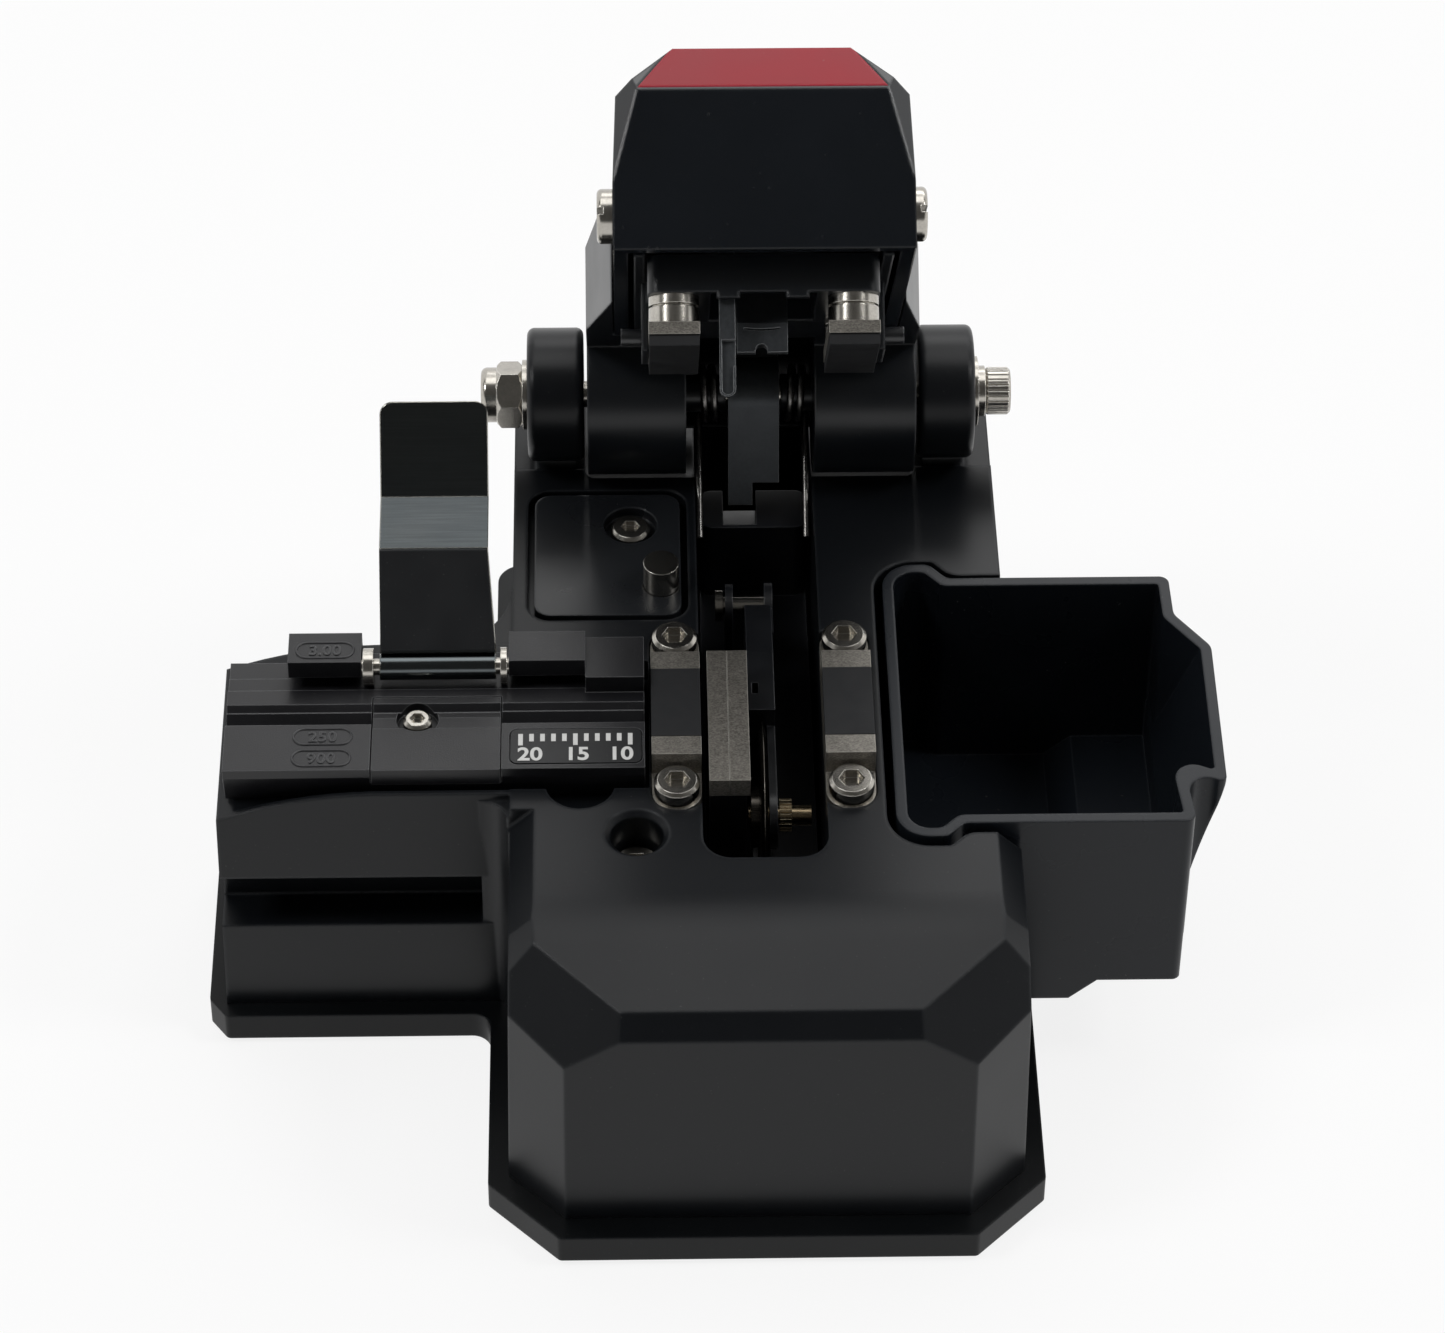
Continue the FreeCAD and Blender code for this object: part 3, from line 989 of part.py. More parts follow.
def clamp_plate():
    """Bent spring plate: curl round the pin, flat over the fibre, a step up and a thumb tab."""
    top = CLAMP_Z + CURL_R - 0.1
    low = top - CLAMP_T
    flat_end = CLAMP_Y - CLAMP_FLAT
    ramp_end = flat_end - CLAMP_RAMP
    tip = ramp_end - CLAMP_TAB
    profile = [(CLAMP_Y, low), (flat_end, low), (ramp_end, low + CLAMP_RISE), (tip, low + CLAMP_RISE),
               (tip, top + CLAMP_RISE), (ramp_end + 0.2, top + CLAMP_RISE), (flat_end + 0.2, top),
               (CLAMP_Y, top)]
    right = CLAMP_X1 + CLAMP_FLARE
    plate = prism(profile, "x", CLAMP_X0, right).common(clamp_outline(0))
    curl = rod_x(CLAMP_X0, right, CLAMP_Y, CLAMP_Z, CURL_R)
    plate = plate.fuse(curl).cut(rod_x(CLAMP_X0, right, CLAMP_Y, CLAMP_Z, CLAMP_PIN_R + 0.05))
    return clamp_place(plate)


def clamp_rubber():
    """Pad on the plate's flat, down to just above the holder's strip when the clamp is shut."""
    high = CLAMP_Z + CURL_R - 0.1 - CLAMP_T
    block = box(CLAMP_X0, CLAMP_X1 + 1, CLAMP_Y - CLAMP_FLAT + 0.1, CLAMP_Y - CURL_R - 0.3,
                HOLD_Z + 0.05, high)
    return clamp_place(block.common(clamp_outline(-0.1)))


# ---------------------------------------------------------------- bin
def bin_form(shrink):
    """The bin's outer form, or its hollow when drawn smaller: floor in two levels, outer wall leaning in."""
    radii = [max(0.3, r - shrink) if convex else r for r, convex in zip(BIN_RADII, BIN_CONVEX)]
    floor = BIN_BOTTOM + shrink
    top = RIM_Z + (0.5 if shrink else 0.0)
    wall = 41.4 - shrink
    upright = rounded_prism(inset(BIN_POINTS, shrink), radii, floor - 1, top)
    step = 28.0 - shrink * 0.4
    upright_x = BIN_UPRIGHT_X - shrink
    bend_z = RIM_Z - (wall - upright_x) / BIN_LEAN
    profile = [(5, floor), (step, floor), (step + 2.5, floor + BIN_STEP_Z - BIN_BOTTOM),
               (upright_x, floor + BIN_STEP_Z - BIN_BOTTOM), (upright_x, bend_z),
               (wall + BIN_LEAN * (top - RIM_Z), top), (5, top)]
    return upright.common(prism(profile, "y", -30, 30))


def bin_pocket():
    """Room in the body for the bin, open on the right and at the top."""
    points = [(x if x < 25 else 60, y) for x, y in inset(BIN_POINTS, -BIN_PLAY)]
    outline = [points[i] for i in (0, 1, 2, 3, 8, 9, 10, 11)]
    radii = [3.0 + BIN_PLAY, 0.6, 2.0, 0.5, 0.5, 2.0, 0.6, 3.0 + BIN_PLAY]
    return rounded_prism(outline, radii, BIN_BOTTOM, DECK_Z + 2)


def waste_bin():
    return bin_form(0.0).cut(bin_form(BIN_WALL))


# ---------------------------------------------------------------- all nodes
def build():
    os.makedirs("parts", exist_ok=True)
    save("base_plate", base_plate())
    save("rubber_feet", rubber_feet())
    save("base_screws", base_screws())
    save("main_housing", main_housing())
    save("housing_screw", housing_screw())
    save("deck_plate", deck_plate())
    save("deck_plate_screw", deck_plate_screw())
    save("lid_stop_post", lid_stop_post())
    save("lower_pad_screws", lower_pad_screws())
    for name, side in (("left", -1), ("right", 1)):
        save("lower_pad_block_" + name, pad_block(side))
        save("lower_rubber_" + name, pad_rubber(side))
        save("upper_pad_block_" + name, opened(upper_pad_block(side)))
        save("upper_rubber_" + name, opened(upper_rubber(side)))
        save("hinge_spring_" + name, hinge_spring(side))
    save("slide_rail", slide_rail())
    save("rail_screws", rail_screws())
    save("carriage_saddle", carriage_saddle())
    save("carriage_block", carriage_block())
    save("guard_halves", guard_halves())
    save("blade_arm", blade_arm())
    save("arm_pivot_pin", arm_pivot_pin())
    save("brass_stud", brass_stud())
    save("blade_wheel", blade_wheel())
    save("blade_hub", blade_hub())
    save("hinge_axle", hinge_axle())
    save("hinge_nut", hinge_nut())
    save("hinge_washers", hinge_washers())
    save("lid_arm", opened(lid_arm()))
    save("lid_cover", opened(lid_cover()))
    save("red_cap", opened(red_cap()))
    save("cover_screws", [opened(s) for s in cover_screws()])
    save("bracket_pins", [opened(s) for s in bracket_pins()])
    save("upper_bracket", opened(upper_bracket()))
    save("pad_studs", [opened(s) for s in pad_studs()])
    save("pad_shaft", [opened(s) for s in pad_shaft()])
    save("anvil", opened(anvil()))
    save("trigger_finger", opened(trigger_finger()))
    save("push_leaf", opened(push_leaf()))
    save("fibre_holder", fibre_holder())
    save("holder_insert", holder_insert())
    save("holder_screw", holder_screw())
    save("scale_plate", scale_plate())
    save("clamp_pin", clamp_pin())
    save("clamp_springs", clamp_springs())
    save("clamp_plate", clamp_plate())
    save("clamp_rubber", clamp_rubber())
    save("waste_bin", waste_bin())


build()
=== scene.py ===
import math
import bmesh
import bpy
from mathutils import Matrix, Vector


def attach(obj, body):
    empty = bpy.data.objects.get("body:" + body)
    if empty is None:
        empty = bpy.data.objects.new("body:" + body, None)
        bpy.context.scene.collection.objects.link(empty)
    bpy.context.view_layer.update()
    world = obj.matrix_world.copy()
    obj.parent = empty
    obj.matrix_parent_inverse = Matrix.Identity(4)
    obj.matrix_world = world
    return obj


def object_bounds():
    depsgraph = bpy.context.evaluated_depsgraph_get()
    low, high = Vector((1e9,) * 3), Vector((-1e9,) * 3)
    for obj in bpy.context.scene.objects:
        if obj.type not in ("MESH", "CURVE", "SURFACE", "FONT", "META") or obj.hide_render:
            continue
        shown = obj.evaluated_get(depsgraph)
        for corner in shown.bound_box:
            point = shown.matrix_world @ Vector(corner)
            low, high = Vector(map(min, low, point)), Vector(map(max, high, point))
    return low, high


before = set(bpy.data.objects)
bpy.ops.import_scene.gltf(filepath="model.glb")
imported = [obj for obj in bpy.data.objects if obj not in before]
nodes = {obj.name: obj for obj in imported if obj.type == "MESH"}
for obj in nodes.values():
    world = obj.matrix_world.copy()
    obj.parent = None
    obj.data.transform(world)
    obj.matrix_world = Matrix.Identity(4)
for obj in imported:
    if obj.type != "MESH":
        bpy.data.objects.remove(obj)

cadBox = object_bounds()
scene = bpy.context.scene
mm = 0.001

# Camera: a long lens above the front edge, looking down at the open cleaver. Millimetres and degrees.
cameraSetup = {"x": -12.0, "y": -327.6, "z": 354.9, "down": 44.11, "turn": -1.47, "roll": 0.49,
               "lens": 127.2, "sensor": 36.0, "nearest": 20.0}


def makeCamera(setup):
    data = bpy.data.cameras.new("camera")
    data.sensor_fit = "HORIZONTAL"
    data.sensor_width = setup["sensor"]
    data.lens = setup["lens"]
    data.clip_start = setup["nearest"] * mm
    camera = bpy.data.objects.new("camera", data)
    scene.collection.objects.link(camera)
    down, turn, roll = (math.radians(setup[key]) for key in ("down", "turn", "roll"))
    ahead = Vector((-math.sin(turn) * math.cos(down), math.cos(turn) * math.cos(down), -math.sin(down)))
    right = Vector((math.cos(turn), math.sin(turn), 0))
    up = right.cross(ahead)
    right, up = math.cos(roll) * right + math.sin(roll) * up, math.cos(roll) * up - math.sin(roll) * right
    place = Matrix((right, up, -ahead)).transposed().to_4x4()
    place.translation = Vector((setup["x"], setup["y"], setup["z"])) * mm
    camera.matrix_world = place
    scene.camera = camera


makeCamera(cameraSetup)
print("camera placed")


def srgb(code):
    values = [int(code[i:i + 2], 16) / 255 for i in (1, 3, 5)]
    return [v / 12.92 if v <= 0.04045 else ((v + 0.055) / 1.055) ** 2.4 for v in values] + [1.0]


def perMm(size):
    # the scale of a pattern whose features are this many millimetres across
    return 1 / (size * mm)


def addNode(tree, kind, settings={}, inputs={}):
    node = tree.nodes.new("ShaderNode" + kind)
    for name, value in settings.items():
        setattr(node, name, value)
    for name, value in inputs.items():
        if isinstance(value, bpy.types.NodeSocket):
            tree.links.new(value, node.inputs[name])
        else:
            node.inputs[name].default_value = value
    return node


def newMaterial(name):
    material = bpy.data.materials.new(name)
    material.use_nodes = True
    material.node_tree.nodes.clear()
    return material


def finishWith(material, shader):
    output = addNode(material.node_tree, "OutputMaterial")
    material.node_tree.links.new(shader, output.inputs["Surface"])
    return material


# Edge wear and painted edge highlights show where the rounded normal leans off the flat one: their dot
# product on a face and on an edge.
edgeMaskLook = {"samples": 4, "face": 0.995, "edge": 0.86}
# Dust shows where a noise is this high; its specks are this size against the grain.
dustLook = {"from": 0.76, "to": 0.80, "size": 0.7, "colour": "#8a8a86"}
# The middle of a noise's range holds nearly all of it.
noiseMiddle = (0.3, 0.7)
noiseNarrow = (0.35, 0.65)


def wearAndHighlightEdges(tree, radius):
    # 0 on faces, rising to 1 along sharp edges, and the rounded normal itself; the mask is used for edge
    # wear and for painted edge highlights
    rounded = addNode(tree, "Bevel", {"samples": edgeMaskLook["samples"]}, {
        "Radius": radius * mm}).outputs["Normal"]
    flat = addNode(tree, "NewGeometry").outputs["Normal"]
    lean = addNode(tree, "VectorMath", {"operation": "DOT_PRODUCT"}, {
        0: rounded, 1: flat}).outputs["Value"]
    edge = addNode(tree, "MapRange", {}, {
        "Value": lean, "From Min": edgeMaskLook["face"], "From Max": edgeMaskLook["edge"]}).outputs["Result"]
    return edge, rounded


def coated(look):
    # paint, plastic or rubber: fine bumps of one size, slow change of gloss, edges painted lighter,
    # partly as wear and partly as a highlight
    # edge, cloud, grain and depth are in mm; the edge wear-and-highlight amount and dust are shares
    material = newMaterial(look["name"])
    tree = material.node_tree
    place = addNode(tree, "TexCoord").outputs["Object"]
    edge, rounded = wearAndHighlightEdges(tree, look["edge"])
    cloud = addNode(tree, "TexNoise", {}, {
        "Vector": place, "Scale": perMm(look["cloud"]), "Detail": 4.0}).outputs["Fac"]
    grain = addNode(tree, "TexNoise", {}, {
        "Vector": place, "Scale": perMm(look["grain"]), "Detail": 3.0}).outputs["Fac"]
    dust = addNode(tree, "TexNoise", {}, {
        "Vector": place, "Scale": perMm(look["grain"] * dustLook["size"]), "Detail": 1.0}).outputs["Fac"]
    speck = addNode(tree, "MapRange", {}, {
        "Value": dust, "From Min": dustLook["from"], "From Max": dustLook["to"],
        "To Max": look["dust"]}).outputs["Result"]
    tone = addNode(tree, "Mix", {"data_type": "RGBA"}, {
        0: cloud, 6: srgb(look["dark"]), 7: srgb(look["light"])}).outputs[2]
    # the edge colour is partly wear and partly a painted highlight along sharp edges
    edgeWearAndHighlight = addNode(tree, "MapRange", {}, {
        "Value": edge, "To Max": look["edgeWearAndHighlight"]}).outputs["Result"]
    tone = addNode(tree, "Mix", {"data_type": "RGBA"}, {
        0: edgeWearAndHighlight, 6: tone, 7: srgb(look["edgeColour"])}).outputs[2]
    tone = addNode(tree, "Mix", {"data_type": "RGBA"}, {
        0: speck, 6: tone, 7: srgb(dustLook["colour"])}).outputs[2]
    rough = addNode(tree, "MapRange", {}, {
        "Value": cloud, "From Min": noiseMiddle[0], "From Max": noiseMiddle[1],
        "To Min": look["rough"][0], "To Max": look["rough"][1]}).outputs["Result"]
    bump = addNode(tree, "Bump", {}, {
        "Height": grain, "Distance": look["depth"] * mm, "Normal": rounded}).outputs["Normal"]
    shader = addNode(tree, "BsdfPrincipled", {}, {
        "Base Color": tone, "Roughness": rough, "Normal": bump, "IOR": look["ior"]})
    return finishWith(material, shader.outputs["BSDF"])


def machined(look):
    # bare metal: fine tool marks, drawn out where along is small, and faint stains
    # edge, line, stain and depth are in mm; real tool marks are finer than these and wouldn't show
    material = newMaterial(look["name"])
    tree = material.node_tree
    place = addNode(tree, "TexCoord").outputs["Object"]
    edge, rounded = wearAndHighlightEdges(tree, look["edge"])
    stretch = addNode(tree, "Mapping", {}, {"Vector": place, "Scale": look["along"]}).outputs["Vector"]
    lines = addNode(tree, "TexNoise", {}, {
        "Vector": stretch, "Scale": perMm(look["line"]), "Detail": 5.0}).outputs["Fac"]
    stain = addNode(tree, "TexNoise", {}, {
        "Vector": place, "Scale": perMm(look["stain"]), "Detail": 3.0}).outputs["Fac"]
    tone = addNode(tree, "Mix", {"data_type": "RGBA"}, {
        0: stain, 6: srgb(look["dark"]), 7: srgb(look["light"])}).outputs[2]
    marks = addNode(tree, "MapRange", {}, {
        "Value": lines, "From Min": noiseNarrow[0], "From Max": noiseNarrow[1],
        "To Min": 1 - look["marks"]}).outputs["Result"]
    tone = addNode(tree, "Mix", {"data_type": "RGBA", "blend_type": "MULTIPLY"}, {
        0: 1.0, 6: tone, 7: marks}).outputs[2]
    # the edge colour is partly wear and partly a painted highlight along sharp edges
    tone = addNode(tree, "Mix", {"data_type": "RGBA"}, {
        0: edge, 6: tone, 7: srgb(look["edgeColour"])}).outputs[2]
    rough = addNode(tree, "MapRange", {}, {
        "Value": lines, "From Min": noiseMiddle[0], "From Max": noiseMiddle[1],
        "To Min": look["rough"][0], "To Max": look["rough"][1]}).outputs["Result"]
    bump = addNode(tree, "Bump", {}, {
        "Height": lines, "Distance": look["depth"] * mm, "Normal": rounded}).outputs["Normal"]
    shader = addNode(tree, "BsdfPrincipled", {}, {
        "Base Color": tone, "Metallic": look["metal"], "Roughness": rough, "Normal": bump})
    return finishWith(material, shader.outputs["BSDF"])


def dress(material, *names):
    for name in names:
        slots = nodes[name].data.materials
        slots.clear()
        slots.append(material)


# Powder coat on die-cast zinc: blue-black satin, fine bumps you only see in the highlights, soft edges
# painted lighter, partly as wear and partly as a highlight. Its IOR, like those of the base, bin and cap,
# is under the usual 1.5, to keep level faces dark.
housingPaint = coated({
    "name": "powderCoatedZinc", "dark": "#0e1013", "light": "#121417", "edgeColour": "#3c3f43",
    "edgeWearAndHighlight": 0.35, "edge": 0.45, "cloud": 14.0, "grain": 0.3, "depth": 0.004, "dust": 0.12,
    "rough": (0.29, 0.35), "ior": 1.33})
dress(housingPaint, "main_housing")

# The deck plate has the same coat from another batch: greyer and a little smoother.
platePaint = coated({
    "name": "powderCoatedSteel", "dark": "#191b1e", "light": "#1f2124", "edgeColour": "#45484c",
    "edgeWearAndHighlight": 0.35, "edge": 0.3, "cloud": 8.0, "grain": 0.3, "depth": 0.003, "dust": 0.12,
    "rough": (0.26, 0.32), "ior": 1.45})
dress(platePaint, "deck_plate")

# Injection-moulded ABS: a shade duller than the paint, with a spark-eroded grain.
basePlastic = coated({
    "name": "mouldedAbs", "dark": "#07090b", "light": "#0c0e10", "edgeColour": "#33363a",
    "edgeWearAndHighlight": 0.3, "edge": 0.3, "cloud": 10.0, "grain": 0.2, "depth": 0.006, "dust": 0.15,
    "rough": (0.36, 0.42), "ior": 1.28})
dress(basePlastic, "base_plate")

# The bin is the same ABS from a smoother mould: its walls catch soft streaks.
binPlastic = coated({
    "name": "smoothMouldedAbs", "dark": "#15181d", "light": "#1a1e23", "edgeColour": "#46494d",
    "edgeWearAndHighlight": 0.4, "edge": 0.3, "cloud": 12.0, "grain": 0.5, "depth": 0.002, "dust": 0.2,
    "rough": (0.26, 0.32), "ior": 1.31})
dress(binPlastic, "waste_bin")

# Nitrile rubber: matt and black, with a breath of dust.
nitrile = coated({
    "name": "nitrileRubber", "dark": "#0a0b0e", "light": "#101215", "edgeColour": "#26282b",
    "edgeWearAndHighlight": 0.3, "edge": 0.15, "cloud": 3.0, "grain": 0.12, "depth": 0.006, "dust": 0.3,
    "rough": (0.6, 0.75), "ior": 1.45})
dress(nitrile, "lower_rubber_left", "lower_rubber_right", "upper_rubber_left", "upper_rubber_right",
      "rubber_feet")

# Neoprene pad on the clamp: smoother and blacker than the other rubbers.
neoprene = coated({
    "name": "skinnedNeoprene", "dark": "#0b0d10", "light": "#101215", "edgeColour": "#25282c",
    "edgeWearAndHighlight": 0.3, "edge": 0.2, "cloud": 5.0, "grain": 0.25, "depth": 0.003, "dust": 0.25,
    "rough": (0.42, 0.52), "ior": 1.45})
dress(neoprene, "clamp_rubber")

# Polished polycarbonate cover: piano black, mirror reflections, the odd speck of dust.
coverGloss = coated({
    "name": "polishedPolycarbonate", "dark": "#0d1014", "light": "#12161b", "edgeColour": "#1d2024",
    "edgeWearAndHighlight": 0.4, "edge": 0.35, "cloud": 9.0, "grain": 0.8, "depth": 0.0005, "dust": 0.04,
    "rough": (0.1, 0.16), "ior": 1.5})
dress(coverGloss, "lid_cover")

# Red acrylic cap: deep crimson, glossy, with a painted highlight along its rims.
capGloss = coated({
    "name": "dyedAcrylic", "dark": "#860a1a", "light": "#990f22", "edgeColour": "#c8455a",
    "edgeWearAndHighlight": 0.5, "edge": 0.35, "cloud": 9.0, "grain": 0.8, "depth": 0.0006, "dust": 0.1,
    "rough": (0.12, 0.2), "ior": 1.27})
dress(capGloss, "red_cap")

# Enamelled lid casting: shallower bumps and a stronger shine than the housing.
lidPaint = coated({
    "name": "satinEnamel", "dark": "#0e1115", "light": "#14171b", "edgeColour": "#3c3f43",
    "edgeWearAndHighlight": 0.35, "edge": 0.35, "cloud": 8.0, "grain": 0.3, "depth": 0.002, "dust": 0.12,
    "rough": (0.28, 0.34), "ior": 1.45})
dress(lidPaint, "lid_arm", "upper_bracket")

# Black oxide on steel: dark, with a trace of metal shine.
blackOxide = coated({
    "name": "blackOxideSteel", "dark": "#0c0d10", "light": "#14161a", "edgeColour": "#55585d",
    "edgeWearAndHighlight": 0.5, "edge": 0.15, "cloud": 4.0, "grain": 0.15, "depth": 0.004, "dust": 0.15,
    "rough": (0.3, 0.4), "ior": 1.6})
dress(blackOxide, "carriage_block", "carriage_saddle", "slide_rail", "rail_screws", "blade_arm",
      "pad_shaft", "base_screws")

# Black anodised aluminium, bead blasted: sandy, with bright corners and lodged dust.
anodised = coated({
    "name": "beadBlastedAnodisedAluminium", "dark": "#131315", "light": "#1b1b1e",
    "edgeColour": "#8a8b8d", "edgeWearAndHighlight": 0.6, "edge": 0.14, "cloud": 6.0, "grain": 0.13, "depth": 0.014,
    "dust": 0.5, "rough": (0.28, 0.36), "ior": 1.43})
dress(anodised, "fibre_holder", "holder_insert")

# Printed plate: glossy black lacquer.
scaleLacquer = coated({
    "name": "lacqueredAluminium", "dark": "#0c0d0f", "light": "#121315", "edgeColour": "#3a3b3d",
    "edgeWearAndHighlight": 0.5, "edge": 0.1, "cloud": 4.0, "grain": 0.3, "depth": 0.002, "dust": 0.3,
    "rough": (0.36, 0.44), "ior": 1.45})
dress(scaleLacquer, "scale_plate")

# White screen-printing ink: a thin matt film, faintly uneven.
printInk = coated({
    "name": "screenPrintInk", "dark": "#c9c9c7", "light": "#e2e2e0", "edgeColour": "#ececea",
    "edgeWearAndHighlight": 0.2, "edge": 0.05, "cloud": 0.8, "grain": 0.06, "depth": 0.003, "dust": 0.0,
    "rough": (0.5, 0.6), "ior": 1.45})

# Ground tool steel, blasted after grinding: sandy grey with darker pits.
groundSteel = machined({
    "name": "groundToolSteel", "dark": "#85817a", "light": "#a7a39b", "edgeColour": "#bdbab2",
    "marks": 0.5, "edge": 0.1, "along": (0.5, 1.0, 1.0), "line": 0.09, "stain": 1.2, "depth": 0.012,
    "rough": (0.34, 0.5), "metal": 0.85})
dress(groundSteel, "guard_halves", "lower_pad_block_left", "lower_pad_block_right",
      "upper_pad_block_left", "upper_pad_block_right")

# Turned stainless steel: ring marks too fine to see one by one.
stainless = machined({
    "name": "turnedStainless", "dark": "#a9a59d", "light": "#c9c5bd", "edgeColour": "#e8e5de",
    "marks": 0.12, "edge": 0.12, "along": (1.0, 1.0, 1.0), "line": 0.2, "stain": 1.5, "depth": 0.0004,
    "rough": (0.2, 0.23), "metal": 1.0})
dress(stainless, "lower_pad_screws", "deck_plate_screw", "lid_stop_post", "hinge_axle", "hinge_nut",
      "hinge_washers", "cover_screws", "pad_studs", "holder_screw", "clamp_pin", "clamp_springs",
      "bracket_pins", "arm_pivot_pin", "housing_screw")

# Oil-tempered spring wire: grey, with a drawn sheen.
springWire = machined({
    "name": "oilTemperedWire", "dark": "#6a6866", "light": "#8a8885", "edgeColour": "#b5b3b0",
    "marks": 0.15, "edge": 0.05, "along": (1.0, 1.0, 1.0), "line": 0.15, "stain": 1.0, "depth": 0.001,
    "rough": (0.25, 0.35), "metal": 1.0})
dress(springWire, "hinge_spring_left", "hinge_spring_right")

# Black-chromed spring steel: a grey mirror with fine lines across it from rolling, and a near-white
# painted highlight along its edges and crest.
darkChrome = machined({
    "name": "blackChromedSpringSteel", "dark": "#595f62", "light": "#626666", "edgeColour": "#e4e2da",
    "marks": 0.12, "edge": 0.22, "along": (0.03, 1.0, 1.0), "line": 0.2, "stain": 4.0, "depth": 0.0006,
    "rough": (0.12, 0.18), "metal": 1.0})
dress(darkChrome, "clamp_plate")

# Tumbled spring steel leaf and anvil: grey with a soft shine.
tumbledSteel = machined({
    "name": "tumbledSpringSteel", "dark": "#3c3f42", "light": "#4c4f52", "edgeColour": "#a0a2a4",
    "marks": 0.15, "edge": 0.1, "along": (1.0, 1.0, 1.0), "line": 0.3, "stain": 2.0, "depth": 0.002,
    "rough": (0.36, 0.46), "metal": 0.7})
dress(tumbledSteel, "push_leaf", "anvil", "trigger_finger")

# Turned brass collar and pin: pale, slightly tarnished.
brass = machined({
    "name": "turnedBrass", "dark": "#85745a", "light": "#a3957a", "edgeColour": "#d2c7ab",
    "marks": 0.25, "edge": 0.08, "along": (0.1, 1.0, 1.0), "line": 0.15, "stain": 1.0, "depth": 0.002,
    "rough": (0.22, 0.32), "metal": 1.0})
dress(brass, "brass_stud")

# Sintered carbide wheel with a lapped rim.
carbide = machined({
    "name": "lappedCarbide", "dark": "#3f3c38", "light": "#54504a", "edgeColour": "#8a857d",
    "marks": 0.2, "edge": 0.08, "along": (0.05, 1.0, 1.0), "line": 0.1, "stain": 1.5, "depth": 0.001,
    "rough": (0.2, 0.3), "metal": 1.0})
dress(carbide, "blade_wheel", "blade_hub")
print("materials made")

# Scale on the holder: a tick for each number from 10 to 20, a longer one at 20, 15 and 10.
scaleMarks = {"top": 32.56, "height": 0.03, "from": 10, "to": 20, "zeroX": -2.1, "pitch": 0.98,
              "tickY": -3.65, "wide": 0.42, "long": 1.45, "short": 0.95}
scaleNumbers = {"y": -6.95, "lift": 0.02, "size": 2.25, "raised": 0.01, "bold": 0.06,
                "centres": {"20": -20.85, "15": -16.65, "10": -12.75}}


def addPiece(name, data, material):
    piece = bpy.data.objects.new(name, data)
    scene.collection.objects.link(piece)
    piece.data.materials.append(material)
    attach(piece, "body")
    return piece


def lettering(name, text, place, look, material):
    data = bpy.data.curves.new(name, "FONT")
    data.body = text
    data.size = look["size"] * mm
    data.align_x = "CENTER"
    data.extrude = look["raised"] * mm
    data.offset = look["bold"] * mm
    data.resolution_u = 6
    piece = addPiece(name, data, material)
    piece.location = Vector(place) * mm


def makeTicks(look):
    grid = bmesh.new()
    for number in range(look["from"], look["to"] + 1):
        length = look["long"] if number % 5 == 0 else look["short"]
        middle = look["zeroX"] - number * look["pitch"]
        left, right = middle - look["wide"] / 2, middle + look["wide"] / 2
        front, back = look["tickY"] - length, look["tickY"]
        corners = [(left, front), (right, front), (right, back), (left, back)]
        low = [grid.verts.new(Vector((a, b, look["top"])) * mm) for a, b in corners]
        high = [grid.verts.new(Vector((a, b, look["top"] + look["height"])) * mm) for a, b in corners]
        grid.faces.new(high)
        grid.faces.new(low[::-1])
        for i in range(4):
            grid.faces.new((low[i], low[(i + 1) % 4], high[(i + 1) % 4], high[i]))
    mesh = bpy.data.meshes.new("scaleTicks")
    grid.to_mesh(mesh)
    grid.free()
    addPiece("scaleTicks", mesh, printInk)


makeTicks(scaleMarks)
for number, centreX in scaleNumbers["centres"].items():
    numberPlace = (centreX, scaleNumbers["y"], scaleMarks["top"] + scaleNumbers["lift"])
    lettering("scaleNumber" + number, number, numberPlace, scaleNumbers, printInk)

# Fibre sizes cast into the holder: raised figures inside a raised oval.
castSizes = {"3.00": (-39.38, 4.95, 34.9), "250": (-39.4, -3.7, 32.5), "900": (-39.45, -6.4, 32.5)}
ovalLook = {"half": 2.6, "radius": 0.98, "rib": 0.11, "steps": 12}
figureLook = {"below": 0.62, "lift": 0.02, "size": 1.75, "raised": 0.06, "bold": 0.02}


def castOval(name, centre, look):
    # a stadium outline as a thin half-buried rib
    data = bpy.data.curves.new(name, "CURVE")
    data.dimensions = "3D"
    data.bevel_depth = look["rib"] * mm
    data.bevel_resolution = 3
    spline = data.splines.new("POLY")
    points = []
    for side, start in ((1, -90), (-1, 90)):
        for step in range(look["steps"] + 1):
            angle = math.radians(start + step * 180 / look["steps"])
            points.append((side * (look["half"] - look["radius"]) + look["radius"] * math.cos(angle),
                           look["radius"] * math.sin(angle)))
    spline.points.add(len(points) - 1)
    for point, (a, b) in zip(spline.points, points):
        point.co = (a * mm, b * mm, 0, 1)
    spline.use_cyclic_u = True
    piece = addPiece(name, data, anodised)
    piece.location = Vector(centre) * mm


for sizeText, centre in castSizes.items():
    castOval("oval" + sizeText, centre, ovalLook)
    figurePlace = (centre[0], centre[1] - figureLook["below"], centre[2] + figureLook["lift"])
    lettering("castSize" + sizeText, sizeText, figurePlace, figureLook, anodised)
print("marks made")

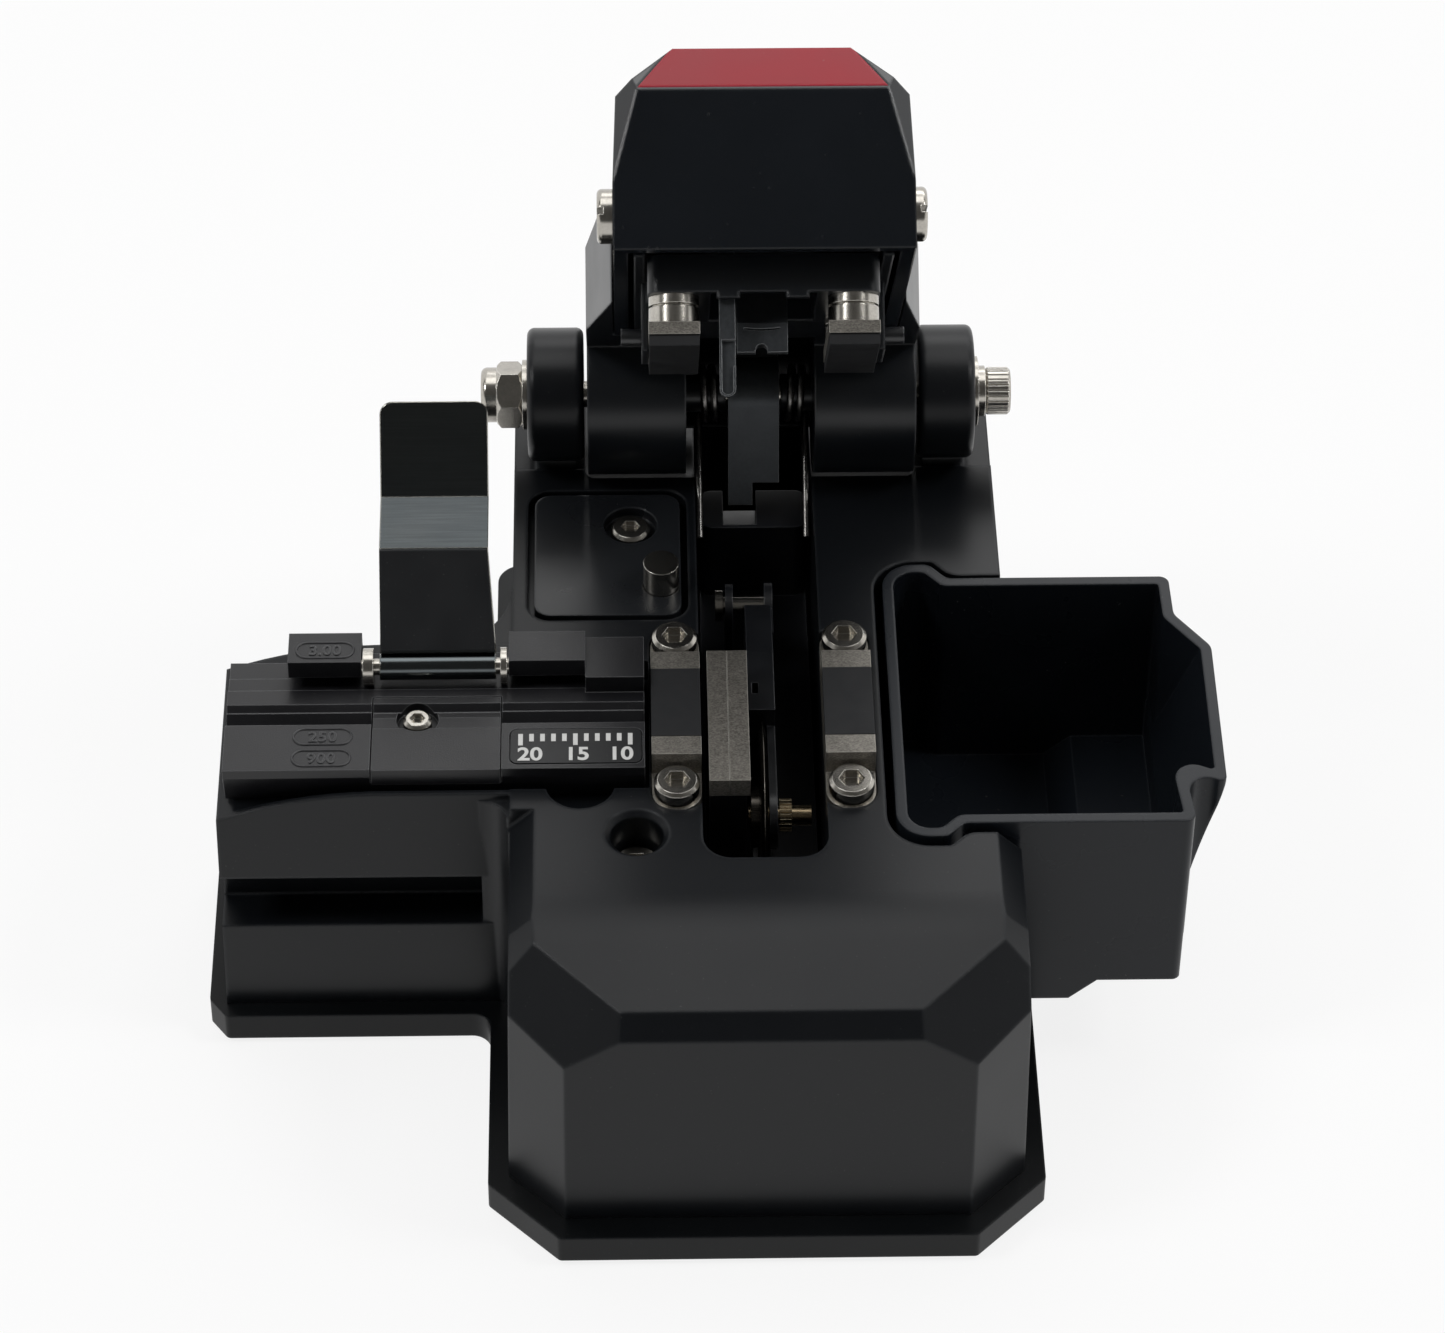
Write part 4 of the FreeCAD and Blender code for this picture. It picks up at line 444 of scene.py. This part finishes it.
# Studio, in metres: a pale floor, a soft box overhead, two small lamps high at the sides, a panel behind
# as bright as the soft box, and a mid-grey ceiling that reaches from in front to just behind.
studio = {"floor": 3.0, "floorColour": "#f2f2f2", "floorGlow": 0.85,
          "surround": "#ffffff", "surroundLevel": 0.5,
          "ceiling": 1.35, "ceilingEdge": 0.75, "ceilingColour": "#757472"}
lampAim = (0.0, 0.0, 0.02)
lamps = {"softBox": {"at": (0.0, 0.28, 1.0), "size": (0.8, 0.5), "power": 2.7},
         "leftLamp": {"at": (-0.62, -0.12, 0.85), "size": (0.25, 0.25), "power": 3.0},
         "rightLamp": {"at": (0.62, -0.05, 0.85), "size": (0.25, 0.25), "power": 3.0},
         "backPanel": {"at": (0.35, 1.1, 0.95), "size": (0.9, 0.5), "power": 3.2}}


def makeSheet(name, half, middle, height, shader, material):
    mesh = bpy.data.meshes.new(name)
    corners = [(-half, -half, 0), (half, -half, 0), (half, half, 0), (-half, half, 0)]
    mesh.from_pydata(corners, [], [(0, 1, 2, 3)])
    sheet = bpy.data.objects.new(name, mesh)
    scene.collection.objects.link(sheet)
    sheet.location = (0, middle, height)
    mesh.materials.append(finishWith(material, shader))


def shownWhite(tree):
    # 1 where the floor or the surround is seen directly, in a mirror or through glass
    path = addNode(tree, "LightPath")
    seen = addNode(tree, "Math", {"operation": "MAXIMUM"}, {
        0: path.outputs["Is Camera Ray"], 1: path.outputs["Is Glossy Ray"]})
    return addNode(tree, "Math", {"operation": "MAXIMUM"}, {
        0: seen.outputs[0], 1: path.outputs["Is Transmission Ray"]}).outputs[0]


def makeFloor(setup):
    material = newMaterial("mattPaperSweep")
    tree = material.node_tree
    share = addNode(tree, "Math", {"operation": "MULTIPLY"}, {0: shownWhite(tree), 1: setup["floorGlow"]})
    paper = addNode(tree, "BsdfDiffuse", {}, {"Color": srgb(setup["floorColour"])})
    glow = addNode(tree, "Emission", {}, {"Color": srgb("#ffffff"), "Strength": 1.0})
    mixed = addNode(tree, "MixShader", {}, {
        0: share.outputs[0], 1: paper.outputs[0], 2: glow.outputs[0]})
    makeSheet("floor", setup["floor"] / 2, 0, cadBox[0].z, mixed.outputs[0], material)


def makeCeiling(setup):
    material = newMaterial("greyCard")
    card = addNode(material.node_tree, "BsdfDiffuse", {}, {"Color": srgb(setup["ceilingColour"])})
    middle = setup["ceilingEdge"] - setup["floor"]
    makeSheet("ceiling", setup["floor"], middle, setup["ceiling"], card.outputs[0], material)


def makeLamp(name, setup):
    data = bpy.data.lights.new(name, "AREA")
    data.shape = "RECTANGLE"
    data.size, data.size_y = setup["size"]
    data.energy = setup["power"]
    lamp = bpy.data.objects.new(name, data)
    scene.collection.objects.link(lamp)
    lamp.location = setup["at"]
    lamp.rotation_euler = (Vector(lampAim) - Vector(setup["at"])).to_track_quat("-Z", "Y").to_euler()


def makeWorld(setup):
    world = bpy.data.worlds.new("world")
    world.use_nodes = True
    tree = world.node_tree
    tree.nodes.clear()
    plain = addNode(tree, "Background", {}, {
        "Color": srgb(setup["surround"]), "Strength": setup["surroundLevel"]})
    white = addNode(tree, "Background", {}, {"Color": srgb("#ffffff"), "Strength": 1.0})
    mixed = addNode(tree, "MixShader", {}, {
        0: shownWhite(tree), 1: plain.outputs[0], 2: white.outputs[0]})
    output = addNode(tree, "OutputWorld")
    tree.links.new(mixed.outputs[0], output.inputs["Surface"])
    scene.world = world


makeFloor(studio)
makeCeiling(studio)
makeWorld(studio)
for lampName, lampSetup in lamps.items():
    makeLamp(lampName, lampSetup)
scene.view_settings.view_transform = "Standard"
print("studio lit")
